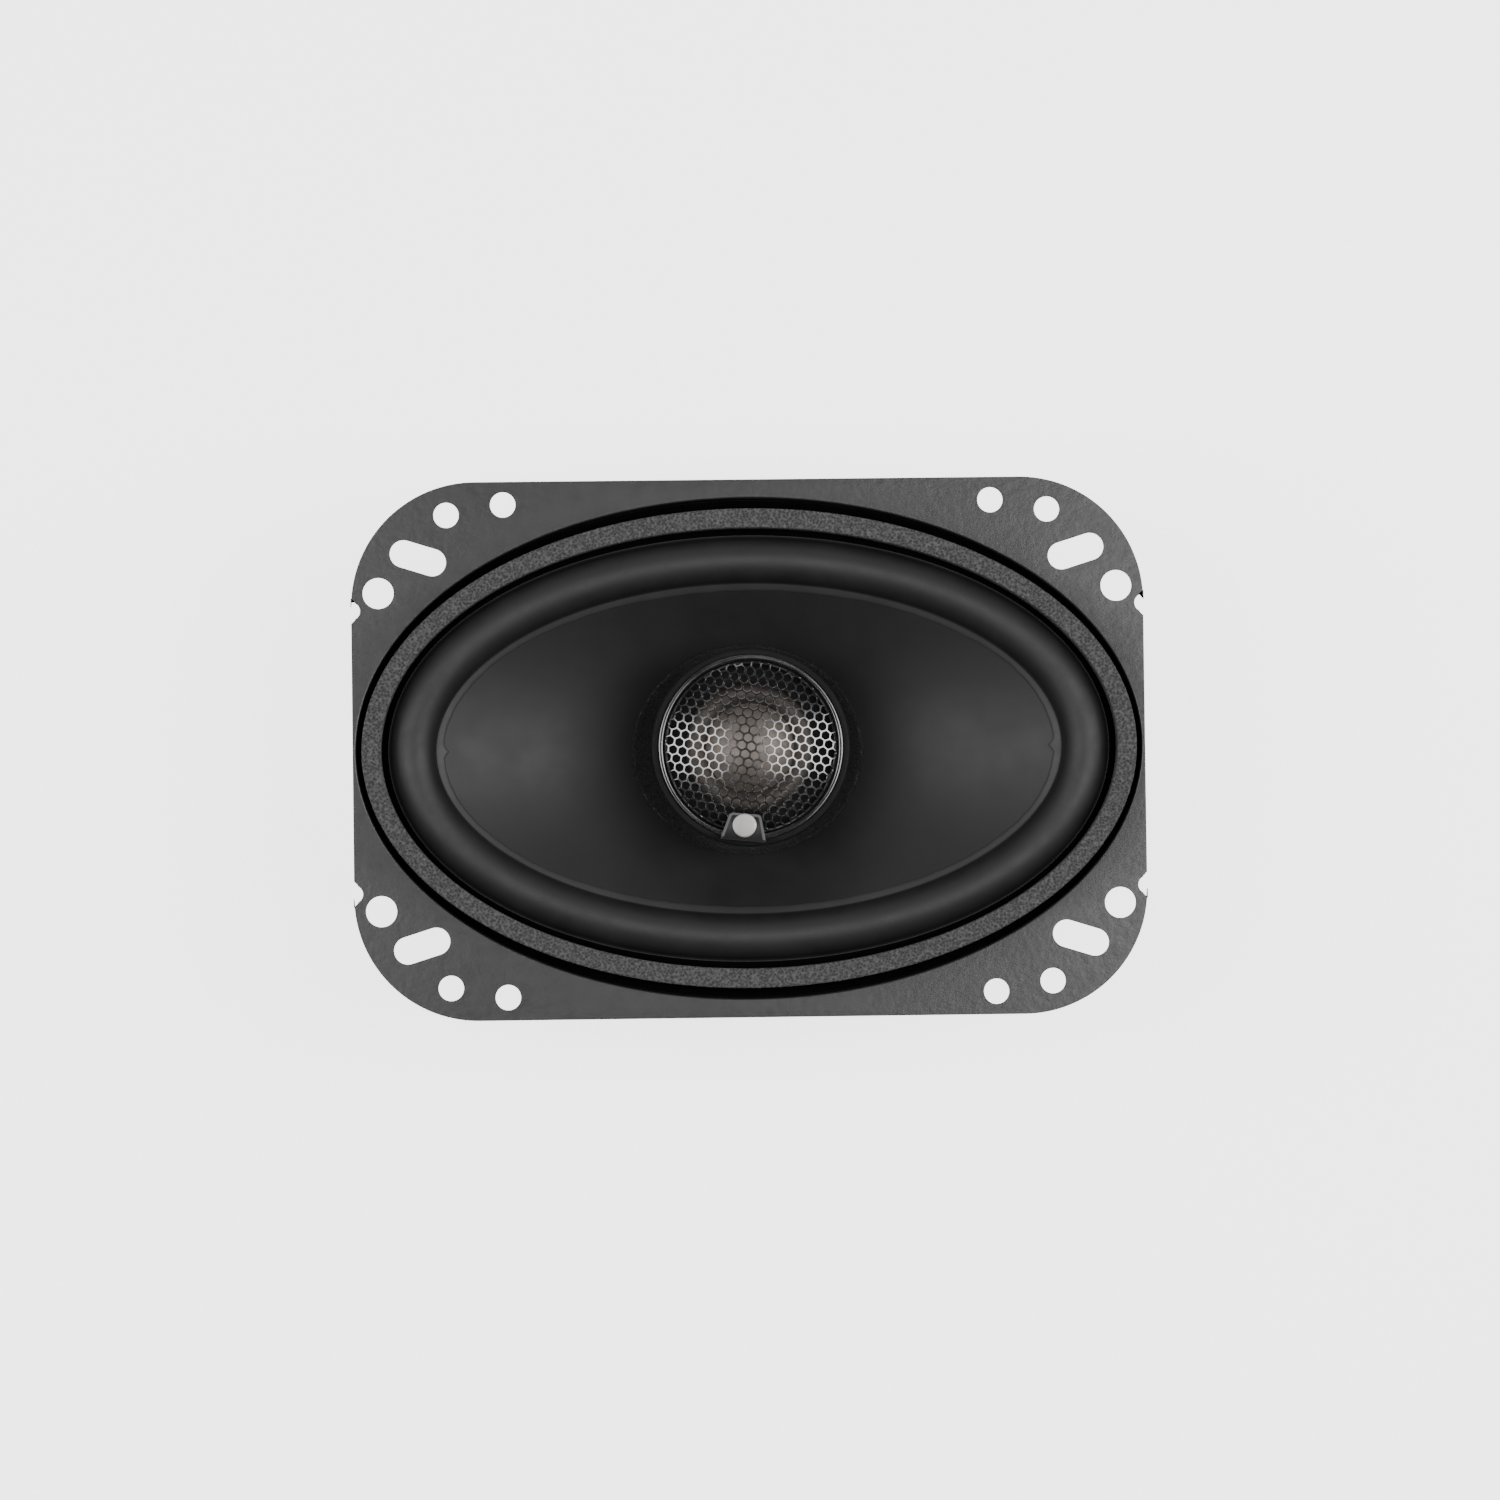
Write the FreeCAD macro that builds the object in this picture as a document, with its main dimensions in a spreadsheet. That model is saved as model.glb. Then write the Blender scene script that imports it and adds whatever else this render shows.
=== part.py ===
import FreeCAD, Part
import math
import os

import Sketcher

TOUCH = 1e-4
NEAR = 1.0
ARC_SHARE = 0.45
VOLUME_TOLERANCE = 0.01
SPIDER_WAVES = 5
RIVET_COUNT = 4
RIVET_ANGLE = 45
RIB_COUNT = 3
RIB_ANGLE = 30
NUT_SIDES = 6

# Coaxial car speaker, 4 x 6 inch pressed-steel basket, in millimetres.
# Origin: centre of the flange's back face. +Z points to the listener, +X along the long axis.

DIMENSIONS = {
    # flange
    "flange_length": 156.0,
    "flange_width": 105.9,
    "corner_radius": 24.4,
    "sheet": 0.9,
    "end_rim": 0.8,
    "side_rim": 3.85,
    "bend_radius": 0.7,
    # fixing holes, each measured in from the flange's edges
    "hole_a_inset_x": 30.0,
    "hole_a_inset_y": 4.53,
    "hole_a_diameter": 5.0,
    "hole_b_inset_x": 18.84,
    "hole_b_inset_y": 6.47,
    "hole_b_diameter": 5.0,
    "hole_c_inset_x": 5.34,
    "hole_c_inset_y": 21.7,
    "hole_c_diameter": 6.1,
    "slot_inset_x": 13.22,
    "slot_inset_y": 14.85,
    "slot_width": 5.4,
    "slot_length": 11.3,
    "slot_angle": 17.4,
    "notch_inset_y": 25.15,
    "notch_radius": 1.75,
    "notch_mouth": 5.0,
    "notch_overrun": 1.0,
    # recess, gasket and surround
    "recess_depth": 1.7,
    "recess_wall": 0.7,
    "gasket_gap_end": 1.0,
    "gasket_gap_side": 1.95,
    "gasket_band": 3.85,
    "gasket_height": 3.7,
    "lip_thickness": 0.5,
    "lip_show": 1.75,
    "roll_radius": 4.4,
    "roll_thickness": 0.5,
    "foot_lap": 0.8,
    "ledge_show": 2.3,
    # cone
    "cone_lap": 0.5,
    "cone_edge": 0.3,
    "neck_oval": 0.001,
    "lip_on_cone": 1.2,
    "glue_line": 0.3,
    "cone_depth": 16.0,
    "cone_thickness": 0.7,
    "neck_collar": 0.8,
    "neck_step": 0.2,
    "bore_overrun": 1.0,
    # main voice coil
    "former_bore_radius": 12.7,
    "former_wall": 0.2,
    "former_above_neck": 1.0,
    "winding_wall": 0.45,
    "winding_length": 8.0,
    "former_tail": 0.5,
    # spider and its seat
    "seat_depth": 25.5,
    "spider_radius": 33.0,
    "spider_clearance": 1.0,
    "spider_land": 4.6,
    "spider_wave": 1.0,
    "spider_thickness": 0.5,
    "seat_bore_radius": 28.5,
    # basket wall
    "wall_thickness": 1.2,
    "basket_depth": 31.0,
    "basket_bore_radius": 17.0,
    "side_window_length": 46.0,
    "end_window_width": 38.0,
    "window_top": 6.0,
    "window_bottom": 23.0,
    "window_corner": 3.0,
    # motor
    "top_plate_inset": 4.0,
    "top_plate_height": 4.0,
    "coil_gap_outside": 0.4,
    "coil_gap_inside": 0.5,
    "magnet_radius": 35.0,
    "magnet_bore_gap": 2.25,
    "magnet_height": 11.0,
    "magnet_chamfer": 0.8,
    "back_plate_inset": 3.0,
    "back_plate_height": 4.0,
    "nut_pocket_radius": 8.6,
    "nut_pocket_depth": 5.5,
    "boot_clearance": 0.3,
    "boot_wall": 1.5,
    "boot_space": 2.5,
    "boot_height": 14.0,
    "boot_slot_width": 8.0,
    "boot_bevel": 1.0,
    "boot_gap": 0.2,
    "boot_shelf": 3.0,
    "boot_slot_root": 4.0,
    "rivet_circle_radius": 22.0,
    "rivet_radius": 1.5,
    "rivet_head_radius": 2.6,
    "rivet_head_height": 0.7,
    "rivet_clearance": 0.1,
    # centre post
    "post_radius": 5.0,
    "post_bore_radius": 2.5,
    "post_collar_radius": 8.0,
    "post_collar_height": 1.5,
    "post_stem_radius": 4.0,
    "post_clearance": 0.1,
    "post_tail": 1.0,
    "washer_radius": 7.5,
    "washer_height": 0.8,
    "nut_width": 13.0,
    "nut_height": 3.0,
    # tweeter
    "tweeter_radius": 19.5,
    "tweeter_base": 8.0,
    "tweeter_top": 7.9,
    "housing_floor": 1.4,
    "housing_wall": 1.2,
    "housing_step": 1.0,
    "housing_bevel": 1.5,
    "rim_height": 3.4,
    "rim_bevel": 0.5,
    "rib_height": 1.6,
    "rib_radius": 1.5,
    "rib_circle_radius": 8.5,
    "trim_inset": 1.44,
    "trim_width": 0.86,
    "trim_step": 0.8,
    "trim_rise": 0.7,
    "trim_bevel": 0.2,
    "fit_clearance": 0.04,
    "grille_rise": 3.2,
    "grille_thickness": 0.5,
    "grille_seat": 0.5,
    "cup_wall": 1.8,
    "cup_floor": 1.5,
    "tweeter_magnet_radius": 7.3,
    "tweeter_magnet_height": 3.0,
    "tweeter_plate_height": 1.5,
    "tweeter_coil_radius": 8.45,
    "tweeter_former_wall": 0.1,
    "tweeter_winding_wall": 0.3,
    "tweeter_winding_length": 2.5,
    "tweeter_coil_gap": 0.35,
    "dome_height": 3.0,
    "dome_thickness": 0.3,
    "dome_lift": 2.2,
    "dome_surround_band": 4.0,
    "dome_surround_rise": 1.0,
    "dome_surround_thickness": 0.3,
    "dome_surround_slope": 0.3,
    "ring_height": 1.2,
    # badge tab on the grille
    "badge_angle": 264.4,
    "tab_base_width": 8.7,
    "tab_top_width": 6.0,
    "tab_reach": 4.7,
    "tab_thickness": 1.0,
    "tab_leg": 0.6,
    "tab_leg_height": 1.3,
    "badge_inset": 2.66,
    "badge_radius": 2.35,
    "badge_height": 0.4,
    # felt dust ring on the cone's neck
    "felt_bore_radius": 7.2,
    "felt_thickness": 1.2,
    "felt_rise": 4.0,
    "felt_clearance": 0.15,
    # terminal board
    "tab_width": 12.0,
    "tab_end_inset": 7.6,
    "tab_root": 1.0,
    "board_length": 32.0,
    "board_gap": 3.2,
    "board_width": 9.0,
    "board_thickness": 1.6,
    "terminal_offset": 11.0,
    "terminal_thickness": 0.8,
    "terminal_drop": 9.0,
    "terminal_row_inset": 4.6,
    "terminal_inset": 1.0,
    "terminal_eyelet_radius": 1.2,
    "positive_blade_width": 4.8,
    "negative_blade_width": 2.8,
    "lug_thickness": 0.5,
    "lug_width": 3.0,
    "board_rivet_radius": 1.5,
    "board_rivet_head": 2.6,
    # capacitor
    "capacitor_radius": 4.0,
    "capacitor_length": 15.0,
    "capacitor_pin_radius": 0.35,
    "capacitor_pin_length": 2.2,
    "capacitor_row_inset": 3.6,
    # leads
    "lead_radius": 0.5,
    "tinsel_radius": 0.6,
    "lead_spacing": 1.3,
    "lead_bend": 1.8,
    "lead_standoff": 1.6,
    "lead_gap": 0.4,
    "pass_x": 7.6,
    "pass_drop": 8.0,
    "pass_rise": 1.0,
    "negative_drop": 5.0,
    "negative_row": 2.0,
    "tinsel_bend": 8.0,
    "tinsel_riser": 7.0,
    "tinsel_climb": 11.0,
    "tinsel_reach": 8.0,
    "tinsel_offset": 3.0,
    "tinsel_arrival": 4.0,
    "eyelet_x": 5.0,
    "eyelet_y": 17.2,
    "eyelet_radius": 1.3,
    "eyelet_height": 1.9,
    "eyelet_sink": 1.8,
}

# Sizes worked out from the driving ones, kept in the same sheet as formulas.
DERIVED = {
    "well_a": "flange_length / 2 - end_rim",
    "well_b": "flange_width / 2 - side_rim",
    "gasket_a": "well_a - gasket_gap_end",
    "gasket_b": "well_b - gasket_gap_side",
    "spine_a": "gasket_a - gasket_band - lip_show - roll_radius",
    "spine_b": "gasket_b - gasket_band - lip_show - roll_radius",
    "ledge_a": "gasket_a - gasket_band - ledge_show",
    "ledge_b": "gasket_b - gasket_band - ledge_show",
    "cone_a": "spine_a - roll_radius - cone_lap",
    "cone_b": "spine_b - roll_radius - cone_lap",
    "cone_rim_z": "0 - recess_depth - glue_line",
    "neck_z": "cone_rim_z - cone_depth",
    "former_radius": "former_bore_radius + former_wall",
    "winding_radius": "former_radius + winding_wall",
    "gap_z": "0 - basket_depth - top_plate_height / 2",
    "former_foot_z": "gap_z - winding_length / 2 - former_tail",
    "pole_radius": "former_bore_radius - coil_gap_inside",
    "plate_bore_radius": "winding_radius + coil_gap_outside",
    "seat_radius": "spider_radius + spider_clearance",
    "magnet_bore_radius": "plate_bore_radius + magnet_bore_gap",
    "top_plate_radius": "magnet_radius - top_plate_inset",
    "back_plate_radius": "magnet_radius - back_plate_inset",
    "magnet_top_z": "0 - basket_depth - top_plate_height",
    "magnet_foot_z": "magnet_top_z - magnet_height",
    "back_z": "magnet_foot_z - back_plate_height",
    "boot_z": "back_z - boot_space - boot_wall",
    "stem_bore_radius": "post_stem_radius + post_clearance",
    "trim_outer_radius": "tweeter_radius - trim_inset",
    "trim_inner_radius": "trim_outer_radius - trim_width",
    "badge_place": "trim_outer_radius - badge_inset",
    "cup_z": "housing_floor + rib_height - tweeter_base",
    "tweeter_magnet_z": "cup_z + cup_floor",
    "tweeter_plate_z": "tweeter_magnet_z + tweeter_magnet_height",
    "tweeter_plate_top": "tweeter_plate_z + tweeter_plate_height",
    "tweeter_plate_radius": "tweeter_coil_radius - tweeter_coil_gap",
    "tweeter_winding_radius": "tweeter_coil_radius + tweeter_former_wall + tweeter_winding_wall",
    "cup_bore_radius": "tweeter_winding_radius + tweeter_coil_gap",
    "cup_radius": "cup_bore_radius + cup_wall",
    "lead_drop_radius": "(cup_radius + tweeter_radius - housing_step - housing_wall) / 2",
    "dome_z": "tweeter_plate_top + dome_lift",
    "ring_z": "dome_z - ring_height",
    "dome_rim_radius": "tweeter_coil_radius + tweeter_former_wall",
    "ring_bore_radius": "tweeter_winding_radius + dome_surround_band",
    "trim_bore_radius": "trim_outer_radius + fit_clearance",
    "board_z": "0 - basket_depth",
    "board_inner": "seat_radius + wall_thickness + board_gap",
    "board_outer": "board_inner + board_width",
    "tab_end": "board_inner + tab_end_inset",
    "terminal_row": "board_inner + terminal_row_inset",
    "capacitor_row": "board_inner + capacitor_row_inset",
    "capacitor_z": "board_z + sheet + rivet_head_height + capacitor_radius + rivet_clearance",
}


def make_sheet(document):
    sheet = document.addObject("Spreadsheet::Sheet", "dims")
    for row, (alias, size) in enumerate(DIMENSIONS.items(), start=1):
        sheet.set(f"A{row}", str(size))
        sheet.setAlias(f"A{row}", alias)
    for row, (alias, formula) in enumerate(DERIVED.items(), start=1):
        sheet.set(f"B{row}", "=" + formula)
        sheet.setAlias(f"B{row}", alias)
    document.recompute()
    return sheet


doc = FreeCAD.newDocument("coaxial_speaker")
dims = make_sheet(doc)
nodes = []


def size(expression):
    """The value of a formula in the sheet's aliases, in millimetres."""
    return float(dims.evalExpression(named(expression)))


def named(expression):
    """The same formula with each alias written as dims.alias, for an expression."""
    words = []
    word = ""
    for letter in str(expression) + " ":
        if letter.isalnum() or letter == "_":
            word += letter
            continue
        known = word in DIMENSIONS or word in DERIVED
        words.append("dims." + word if known else word)
        words.append(letter)
        word = ""
    return "".join(words).strip()


def bind(thing, attribute, expression):
    thing.setExpression(attribute, named(expression))


def new_body(label):
    body = doc.addObject("PartDesign::Body", label)
    body.Label = label
    nodes.append(body)
    return body


def new_sketch(body, name, role="XY_Plane", height="0"):
    """A sketch on one of the body's own origin planes, lifted along its normal."""
    sketch = body.newObject("Sketcher::SketchObject", f"{body.Label}_{name}")
    plane = next(item for item in body.Origin.OriginFeatures if item.Role == role)
    sketch.AttachmentSupport = [(plane, "")]
    sketch.MapMode = "FlatFace"
    bind(sketch, "AttachmentOffset.Base.z", height)
    return sketch


def constrain(sketch, constraint, expression):
    index = sketch.addConstraint(constraint)
    bind(sketch, f"Constraints[{index}]", expression)


def pin_point(sketch, geometry, point, x, y):
    """Fixes one point of a sketch at a place given by two formulas."""
    for kind, expression in (("DistanceX", x), ("DistanceY", y)):
        place = size(expression)
        constrain(sketch, Sketcher.Constraint(kind, -1, 1, geometry, point, place), expression)


def add_polygon(sketch, corners):
    points = [FreeCAD.Vector(size(x), size(y), 0) for x, y in corners]
    first = sketch.GeometryCount
    count = len(points)
    for index in range(count):
        line = Part.LineSegment(points[index], points[(index + 1) % count])
        sketch.addGeometry(line, False)
    for index in range(count):
        after = first + (index + 1) % count
        sketch.addConstraint(Sketcher.Constraint("Coincident", first + index, 2, after, 1))
    for index, (x, y) in enumerate(corners):
        pin_point(sketch, first + index, 1, x, y)


def add_circle(sketch, radius, x="0", y="0"):
    centre = FreeCAD.Vector(size(x), size(y), 0)
    circle = sketch.addGeometry(Part.Circle(centre, FreeCAD.Vector(0, 0, 1), size(radius)), False)
    constrain(sketch, Sketcher.Constraint("Radius", circle, size(radius)), radius)
    pin_point(sketch, circle, 3, x, y)


def add_ellipse(sketch, a, b):
    """An ellipse about the origin, long axis along X, with semi-axes a and b."""
    curve = sketch.addGeometry(Part.Ellipse(FreeCAD.Vector(), size(a), size(b)), False)
    sketch.exposeInternalGeometry(curve)
    sketch.addConstraint(Sketcher.Constraint("Coincident", curve, 3, -1, 1))
    sketch.addConstraint(Sketcher.Constraint("Horizontal", curve + 1))
    for axis, semi in ((curve + 1, a), (curve + 2, b)):
        length = f"2 * ({semi})"
        constrain(sketch, Sketcher.Constraint("Distance", axis, size(length)), length)


def add_slot(sketch, x, y, length, width, degrees):
    """A round-ended slot centred at (x, y), turned from the X axis."""
    angle = math.radians(size(degrees))
    along = FreeCAD.Vector(math.cos(angle), math.sin(angle), 0)
    across = FreeCAD.Vector(-along.y, along.x, 0)
    radius = size(width) / 2
    reach = (size(length) - size(width)) / 2
    centre = FreeCAD.Vector(size(x), size(y), 0)
    ends = [centre + along * reach, centre - along * reach]
    arcs = []
    for end, sign in zip(ends, (1, -1)):
        middle = end + along * radius * sign
        arc = Part.Arc(end - across * radius * sign, middle, end + across * radius * sign)
        arcs.append(sketch.addGeometry(arc, False))
    for start, finish in ((0, 1), (1, 0)):
        line = Part.LineSegment(sketch.getPoint(arcs[start], 2), sketch.getPoint(arcs[finish], 1))
        edge = sketch.addGeometry(line, False)
        sketch.addConstraint(Sketcher.Constraint("Tangent", arcs[start], 2, edge, 1))
        sketch.addConstraint(Sketcher.Constraint("Tangent", edge, 2, arcs[finish], 1))
    half = f"({width}) / 2"
    constrain(sketch, Sketcher.Constraint("Radius", arcs[0], radius), half)
    for arc, sign in zip(arcs, ("+", "-")):
        offset = f"(({length}) - ({width})) / 2"
        place_x = f"{x} {sign} {offset} * cos(({degrees}) * 1deg)"
        place_y = f"{y} {sign} {offset} * sin(({degrees}) * 1deg)"
        pin_point(sketch, arc, 3, place_x, place_y)


def pad(body, sketch, length, downward=False):
    feature = body.newObject("PartDesign::Pad", f"{sketch.Name}_pad")
    feature.Profile = sketch
    bind(feature, "Length", length)
    feature.Reversed = downward
    return feature


def pocket(body, sketch, length, upward=False, both_ways=False):
    """Cuts along the sketch's normal: down by default, and never without removing material."""
    doc.recompute()
    before = body.Shape.Volume
    feature = body.newObject("PartDesign::Pocket", f"{sketch.Name}_pocket")
    feature.Profile = sketch
    bind(feature, "Length", length)
    feature.Reversed = upward
    feature.Midplane = both_ways
    doc.recompute()
    if body.Shape.Volume >= before:
        raise RuntimeError(f"{feature.Name} removes nothing")
    return feature


def loft(body, kind, sections):
    feature = body.newObject(f"PartDesign::{kind}Loft", f"{sections[0].Name}_loft")
    feature.Profile = sections[0]
    feature.Sections = sections[1:]
    feature.Ruled = True
    return feature


def turn(body, sketch):
    """Turns a profile drawn on the XZ plane about Z."""
    feature = body.newObject("PartDesign::Revolution", f"{sketch.Name}_turned")
    feature.Profile = sketch
    feature.ReferenceAxis = (sketch, ["V_Axis"])
    feature.Angle = 360.0
    return feature


def turned_body(label, corners):
    """A round piece: a closed profile of (radius, height) corners, turned about Z."""
    body = new_body(label)
    sketch = new_sketch(body, "profile", "XZ_Plane")
    add_polygon(sketch, corners)
    turn(body, sketch)
    return body


def ring_corners(inner, outer, low, high):
    return [(inner, low), (outer, low), (outer, high), (inner, high)]


def quadrants():
    return [(x, y) for x in (1, -1) for y in (1, -1)]


# ---------------------------------------------------------------- basket


def make_flange(body):
    outline = new_sketch(body, "outline")
    half_x = "flange_length / 2"
    half_y = "flange_width / 2"
    signs = ((1, 1), (-1, 1), (-1, -1), (1, -1))
    add_polygon(outline, [(f"{x} * {half_x}", f"{y} * {half_y}") for x, y in signs])
    plate = pad(body, outline, "sheet")
    doc.recompute()
    upright = [
        f"Edge{index}"
        for index, edge in enumerate(plate.Shape.Edges, start=1)
        if abs(edge.BoundBox.ZLength - size("sheet")) < TOUCH and edge.BoundBox.XLength < TOUCH
    ]
    corners = body.newObject("PartDesign::Fillet", "basket_corners")
    corners.Base = (plate, upright)
    bind(corners, "Radius", "corner_radius")
    doc.recompute()


def make_recess(body):
    wall = new_sketch(body, "recess_wall", height="-recess_depth - sheet")
    add_ellipse(wall, "well_a + recess_wall", "well_b + recess_wall")
    pad(body, wall, "recess_depth + sheet + sheet / 2")
    floor = new_sketch(body, "recess", height="sheet")
    add_ellipse(floor, "well_a", "well_b")
    pocket(body, floor, "sheet + recess_depth")
    opening = new_sketch(body, "mouth", height="sheet")
    add_ellipse(opening, "ledge_a", "ledge_b")
    pocket(body, opening, "2 * sheet + recess_depth")


def make_wall(body):
    top = "-recess_depth - sheet"
    foot = "-seat_depth - sheet"
    skins = (("Additive", "outside", "wall_thickness"), ("Subtractive", "inside", "0"))
    for kind, name, extra in skins:
        high = new_sketch(body, f"{name}_top", height=top)
        add_ellipse(high, f"ledge_a + {extra}", f"ledge_b + {extra}")
        low = new_sketch(body, f"{name}_foot", height=foot)
        add_ellipse(low, f"seat_radius + {extra} + neck_oval", f"seat_radius + {extra}")
        doc.recompute()
        loft(body, kind, [high, low])
        doc.recompute()


def make_seat(body):
    profile = new_sketch(body, "seat", "XZ_Plane")
    skirt = "seat_bore_radius + sheet"
    corners = [
        ("basket_bore_radius", "-basket_depth"),
        (skirt, "-basket_depth"),
        (skirt, "-seat_depth - sheet"),
        ("seat_radius + wall_thickness", "-seat_depth - sheet"),
        ("seat_radius + wall_thickness", "-seat_depth"),
        ("seat_bore_radius", "-seat_depth"),
        ("seat_bore_radius", "-basket_depth + sheet"),
        ("basket_bore_radius", "-basket_depth + sheet"),
    ]
    add_polygon(profile, corners)
    turn(body, profile)
    doc.recompute()


def make_terminal_tab(body):
    outline = new_sketch(body, "tab", height="-basket_depth")
    half = "tab_width / 2"
    inner = "-(seat_bore_radius - tab_root)"
    corners = [(half, inner), (half, "-tab_end"), (f"-{half}", "-tab_end"), (f"-{half}", inner)]
    add_polygon(outline, corners)
    pad(body, outline, "sheet")
    doc.recompute()


def make_windows(body):
    """Four windows leave four spokes on the diagonals."""
    views = (
        ("side_windows", "XZ_Plane", "side_window_length", "2 * flange_width"),
        ("end_windows", "YZ_Plane", "end_window_width", "2 * flange_length"),
    )
    for name, role, width, reach in views:
        outline = new_sketch(body, name, role)
        half = f"{width} / 2"
        corner = "window_corner"
        corners = [
            (f"{half}", "-window_top"),
            (f"{half}", f"-window_bottom + {corner}"),
            (f"{half} - {corner}", "-window_bottom"),
            (f"-{half} + {corner}", "-window_bottom"),
            (f"-{half}", f"-window_bottom + {corner}"),
            (f"-{half}", "-window_top"),
        ]
        add_polygon(outline, corners)
        pocket(body, outline, reach, both_ways=True)


def make_fixing_holes(body):
    half_x = "(flange_length / 2 - {0}_inset_x)"
    half_y = "(flange_width / 2 - {0}_inset_y)"
    for hole in ("hole_a", "hole_b", "hole_c"):
        sketch = new_sketch(body, hole, height="sheet")
        for x, y in quadrants():
            place_x = f"{x} * {half_x.format(hole)}"
            place_y = f"{y} * {half_y.format(hole)}"
            add_circle(sketch, f"{hole}_diameter / 2", place_x, place_y)
        pocket(body, sketch, "2 * sheet")
    for index, (x, y) in enumerate(quadrants()):
        sketch = new_sketch(body, f"slot_{index}", height="sheet")
        place_x = f"{x} * {half_x.format('slot')}"
        place_y = f"{y} * {half_y.format('slot')}"
        add_slot(sketch, place_x, place_y, "slot_length", "slot_width", f"{x * y} * slot_angle")
        pocket(body, sketch, "2 * sheet")


def make_edge_notches(body):
    """Half-round notches with flared lips in the flange's two short edges."""
    row = "(flange_width / 2 - notch_inset_y)"
    for name in ("notch", "notch_lip"):
        sketch = new_sketch(body, name, height="sheet")
        for x, y in quadrants():
            edge = f"{x} * flange_length / 2"
            middle = f"{y} * {row}"
            if name == "notch":
                add_circle(sketch, "notch_radius", edge, middle)
                continue
            flare = "(notch_mouth / 2 - notch_radius)"
            corners = [
                (f"{edge} + {x} * notch_overrun", f"{middle} + notch_mouth / 2"),
                (edge, f"{middle} + notch_mouth / 2"),
                (f"{edge} - {x} * {flare}", f"{middle} + notch_radius"),
                (f"{edge} - {x} * {flare}", f"{middle} - notch_radius"),
                (edge, f"{middle} - notch_mouth / 2"),
                (f"{edge} + {x} * notch_overrun", f"{middle} - notch_mouth / 2"),
            ]
            add_polygon(sketch, corners)
        pocket(body, sketch, "2 * sheet")


def drill(body, name, radius, places, height, depth):
    """Round holes straight down from a height, at a list of (x, y) places."""
    sketch = new_sketch(body, name, height=height)
    for x, y in places:
        add_circle(sketch, radius, x, y)
    return pocket(body, sketch, depth)


def on_circle(radius, count, first_degrees):
    step = 360 / count
    angles = [first_degrees + step * index for index in range(count)]
    return [(f"({radius}) * cos({a} * 1deg)", f"({radius}) * sin({a} * 1deg)") for a in angles]


RIVET_PLACES = on_circle("rivet_circle_radius", RIVET_COUNT, RIVET_ANGLE)


def round_the_bend(body):
    """The stamped bend where the flange turns down into the recess."""
    doc.recompute()
    tip = body.Tip
    wanted = [
        f"Edge{index}"
        for index, edge in enumerate(tip.Shape.Edges, start=1)
        if abs(edge.BoundBox.ZMin - size("sheet")) < TOUCH
        and edge.BoundBox.ZLength < TOUCH
        and abs(edge.BoundBox.XLength - 2 * size("well_a")) < NEAR
    ]
    bend = body.newObject("PartDesign::Fillet", "basket_bend")
    bend.Base = (tip, wanted)
    bind(bend, "Radius", "bend_radius")
    doc.recompute()


def make_basket():
    body = new_body("basket")
    make_flange(body)
    make_recess(body)
    make_wall(body)
    make_seat(body)
    make_windows(body)
    make_terminal_tab(body)
    round_the_bend(body)
    make_fixing_holes(body)
    make_edge_notches(body)
    clearance = "rivet_radius + rivet_clearance"
    drill(body, "rivet_holes", clearance, RIVET_PLACES, "-basket_depth + sheet", "2 * sheet")
    board_hole = [("0", "-terminal_row")]
    drill(body, "board_hole", clearance, board_hole, "-basket_depth + sheet", "2 * sheet")


# ---------------------------------------------------------------- gasket, surround, cone


def elliptic_ring(label, outer, inner, low, height):
    body = new_body(label)
    sketch = new_sketch(body, "band", height=low)
    add_ellipse(sketch, *outer)
    add_ellipse(sketch, *inner)
    pad(body, sketch, height)
    doc.recompute()
    return body


def make_front_gasket():
    outer = ("gasket_a", "gasket_b")
    inner = ("gasket_a - gasket_band", "gasket_b - gasket_band")
    elliptic_ring("front_gasket", outer, inner, "lip_thickness - recess_depth", "gasket_height")


def make_surround():
    """A flat outer lip, a half-round roll and a flat inner lip, in one piece."""
    outer = ("gasket_a", "gasket_b")
    foot = "(roll_radius - roll_thickness - foot_lap)"
    outer_foot = (f"spine_a + {foot}", f"spine_b + {foot}")
    body = elliptic_ring("surround", outer, outer_foot, "-recess_depth", "lip_thickness")
    lip = new_sketch(body, "inner_lip", height="-recess_depth")
    add_ellipse(lip, f"spine_a - {foot}", f"spine_b - {foot}")
    add_ellipse(lip, "cone_a - lip_on_cone", "cone_b - lip_on_cone")
    spine = new_sketch(body, "spine")
    add_ellipse(spine, "spine_a", "spine_b")
    roll = new_sketch(body, "roll", "XZ_Plane")
    add_arch(roll, "spine_a", "-recess_depth", "roll_radius", "roll_thickness")
    doc.recompute()
    pipe = body.newObject("PartDesign::AdditivePipe", "surround_pipe")
    pipe.Profile = roll
    pipe.Spine = (spine, ["Edge1"])
    pipe.Mode = "Frenet"
    doc.recompute()
    pad(body, lip, "lip_thickness")
    doc.recompute()


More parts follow.
